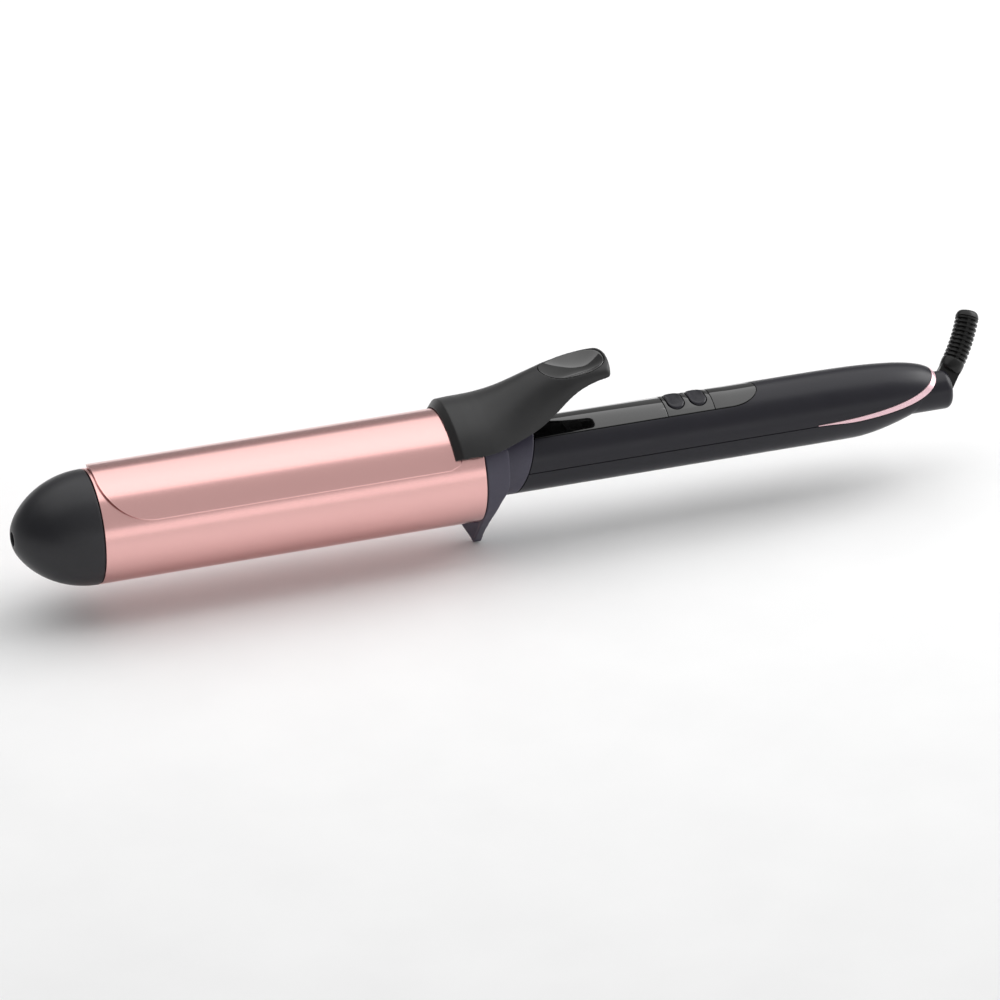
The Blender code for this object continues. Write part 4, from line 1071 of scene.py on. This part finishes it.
def build_relief():
    """The ribbed rubber sleeve: rounded ribs over a thinner core, tied by two long webs."""
    root, pitch, ribs = 11.0, 1.55, 10
    core, crest = 3.05, 3.9
    profile = [(7.0, 3.3), (7.3, 3.6), (8.2, 3.8), (9.4, 3.88), (root - 0.3, 3.9), (root, 3.8)]
    for i in range(ribs):
        x = root + pitch * i
        profile += [(x + 0.08, core + 0.1), (x + 0.2, core), (x + 0.55, core), (x + 0.67, core + 0.1)]
        for t in spread(-1.0, 1.0, 7):
            profile.append((x + 0.5 * pitch + 0.35 + 0.4 * t, crest - 0.35 + 0.35 * math.sqrt(1 - t**6)))
    profile += [(BOOT_LENGTH - 2.0, 3.9), (BOOT_LENGTH - 1.3, 3.75), (BOOT_LENGTH - 0.7, 3.5)]
    profile += [(BOOT_LENGTH - 0.25, 3.15), (BOOT_LENGTH, 2.8)]
    profile = sorted(profile)
    made = place("relief_sleeve", bent(profile, 64), BOOT_SPACE)
    edge = [(3.5 * math.sin(t), -3.5 * math.cos(t)) for t in spread(0.0, -math.pi, 32)]
    eye = prism_y(edge + [(4.5, 3.4), (8.6, 3.3), (8.6, -3.3), (4.5, -3.4)], -2.1, 2.1)
    steps = [("join", eye), ("cut", rod("Y", (0.0, -6.0, 0.0), 12.0, BOOT_PIN_BORE))]
    for angle in (90.0, 270.0):
        steps.append(("join", web(math.radians(angle), root - 0.5, BOOT_LENGTH - 2.0, crest - 0.25)))
    steps.append(("cut", bent([(20.0, CORD_BORE), (BOOT_LENGTH + 2.0, CORD_BORE)], 48)))
    combine(made, steps, BOOT_SPACE)
    dress(made, "boot", "rubber", ["strain_relief"], 38.0)


def web(angle, start, end, radius):
    """A narrow web along the sleeve that ties its ribs together."""
    half = 0.55
    rings = []
    for distance in spread(start, end, 12):
        ring = []
        for reach, side in ((2.5, -half), (radius, -half), (radius, half), (2.5, half)):
            across = reach * math.sin(angle) + side * math.cos(angle)
            up = reach * math.cos(angle) - side * math.sin(angle)
            ring.append(boot_point(distance, across, up))
        rings.append(ring)
    return loft(rings)


# ---- the pieces inside ----
def dress_inner_nodes():
    """Gives every CAD node its slot's material, which shows on the nodes with no finer piece."""
    for part in frame["record"]["subparts"]:
        for material_slot in frame["nodes"][part["node"]].material_slots:
            material_slot.material = skin(part["material_slot"])


# ---- studio ----
def area_light(name, place_at, look_at, size, power):
    data = bpy.data.lights.new(name, "AREA")
    data.shape = "RECTANGLE"
    data.size, data.size_y = size
    data.energy = power
    lamp = bpy.data.objects.new(name, data)
    lamp.location = place_at
    lamp.rotation_euler = (Vector(look_at) - Vector(place_at)).to_track_quat("-Z", "Y").to_euler()
    bpy.context.scene.collection.objects.link(lamp)


def build_floor():
    half = 4.0
    mesh = bpy.data.meshes.new("floor")
    corners = [(-half, -half, 0.0), (half, -half, 0.0), (half, half, 0.0), (-half, half, 0.0)]
    mesh.from_pydata(corners, [], [(0, 1, 2, 3)])
    floor = bpy.data.objects.new("floor", mesh)
    floor.location.z = -0.0004
    bpy.context.scene.collection.objects.link(floor)
    paper = Skin("floor_paper", (0.86, 0.86, 0.86), 0.75)
    paper.tint(paper.noise(40.0, 4.0), (0.85, 0.85, 0.85), (0.875, 0.875, 0.875))
    paper.bump(paper.noise(0.8, 3.0), 0.01)
    mesh.materials.append(paper.material)


def build_room():
    """A world whose brightness falls off past the tip and behind the iron."""
    world = bpy.data.worlds.new("studio")
    world.use_nodes = True
    tree = world.node_tree
    sky = tree.nodes["Background"]
    sky.inputs["Color"].default_value = (1.0, 1.0, 1.0, 1.0)
    split = tree.nodes.new("ShaderNodeSeparateXYZ")
    tree.links.new(tree.nodes.new("ShaderNodeTexCoord").outputs["Generated"], split.inputs["Vector"])
    along = map_range(tree, split.outputs["X"], (-0.9, 0.2), (0.1, 0.58))
    behind = map_range(tree, split.outputs["Y"], (0.2, 1.0), (0.9, 0.5))
    both = tree.nodes.new("ShaderNodeMath")
    both.operation = "MULTIPLY"
    tree.links.new(along, both.inputs[0])
    tree.links.new(behind, both.inputs[1])
    tree.links.new(both.outputs["Value"], sky.inputs["Strength"])
    bpy.context.scene.world = world


def build_studio():
    """A pale floor, a darkening room and three soft lights."""
    build_floor()
    build_room()
    area_light("softbox_above", (0.2, 0.39, 0.66), (0.2, 0.39, 0.0), (1.8, 1.1), 6.7)
    area_light("card_in_front", (0.27, -1.0, 0.16), (0.27, 0.0, 0.07), (2.2, 0.30), 1.4)
    area_light("floor_fill", (2.0, 0.2, 1.2), (0.0, 0.0, 0.0), (1.8, 1.8), 32.0)
    bpy.context.scene.view_settings.view_transform = "Standard"


# ---- camera ----
def build_camera():
    """The three-quarter view: slightly to the tip's side, well above, rolled a little."""
    swing, rise, roll = (math.radians(angle) for angle in (15.3, 30.0, 9.4))
    distance, view_width, sensor = 3000.0, 327.44, 36.0
    off_right, off_up = 9.692, -11.788      # of the middle of the view from the barrel's root
    ahead = Vector((0, -math.cos(rise), math.sin(rise)))
    toward = Vector((-math.sin(swing), 0, 0)) + ahead * math.cos(swing)
    level_up = Vector((0, math.sin(rise), math.cos(rise)))
    level_right = Vector((math.cos(swing), 0, 0)) + ahead * math.sin(swing)
    right = level_right * math.cos(roll) - level_up * math.sin(roll)
    up = level_right * math.sin(roll) + level_up * math.cos(roll)
    root = Vector((-FOOT_X, 0, AXIS_HEIGHT))
    place_at = root + toward * distance + right * off_right + up * off_up
    data = bpy.data.cameras.new("camera")
    data.sensor_width = sensor
    data.lens = sensor * distance / view_width
    data.clip_start, data.clip_end = 0.05, 20.0
    camera = bpy.data.objects.new("camera", data)
    turn = Matrix((right, up, toward)).transposed().to_4x4()
    camera.matrix_world = Matrix.Translation(place_at * MM) @ turn
    bpy.context.scene.collection.objects.link(camera)
    bpy.context.scene.camera = camera


build_camera()
build_barrel()
build_tip()
build_collar()
build_plate()
build_lever()
build_pad()
build_spring()
build_handle()
build_controls()
build_knuckle()
build_relief()
dress_inner_nodes()
build_studio()
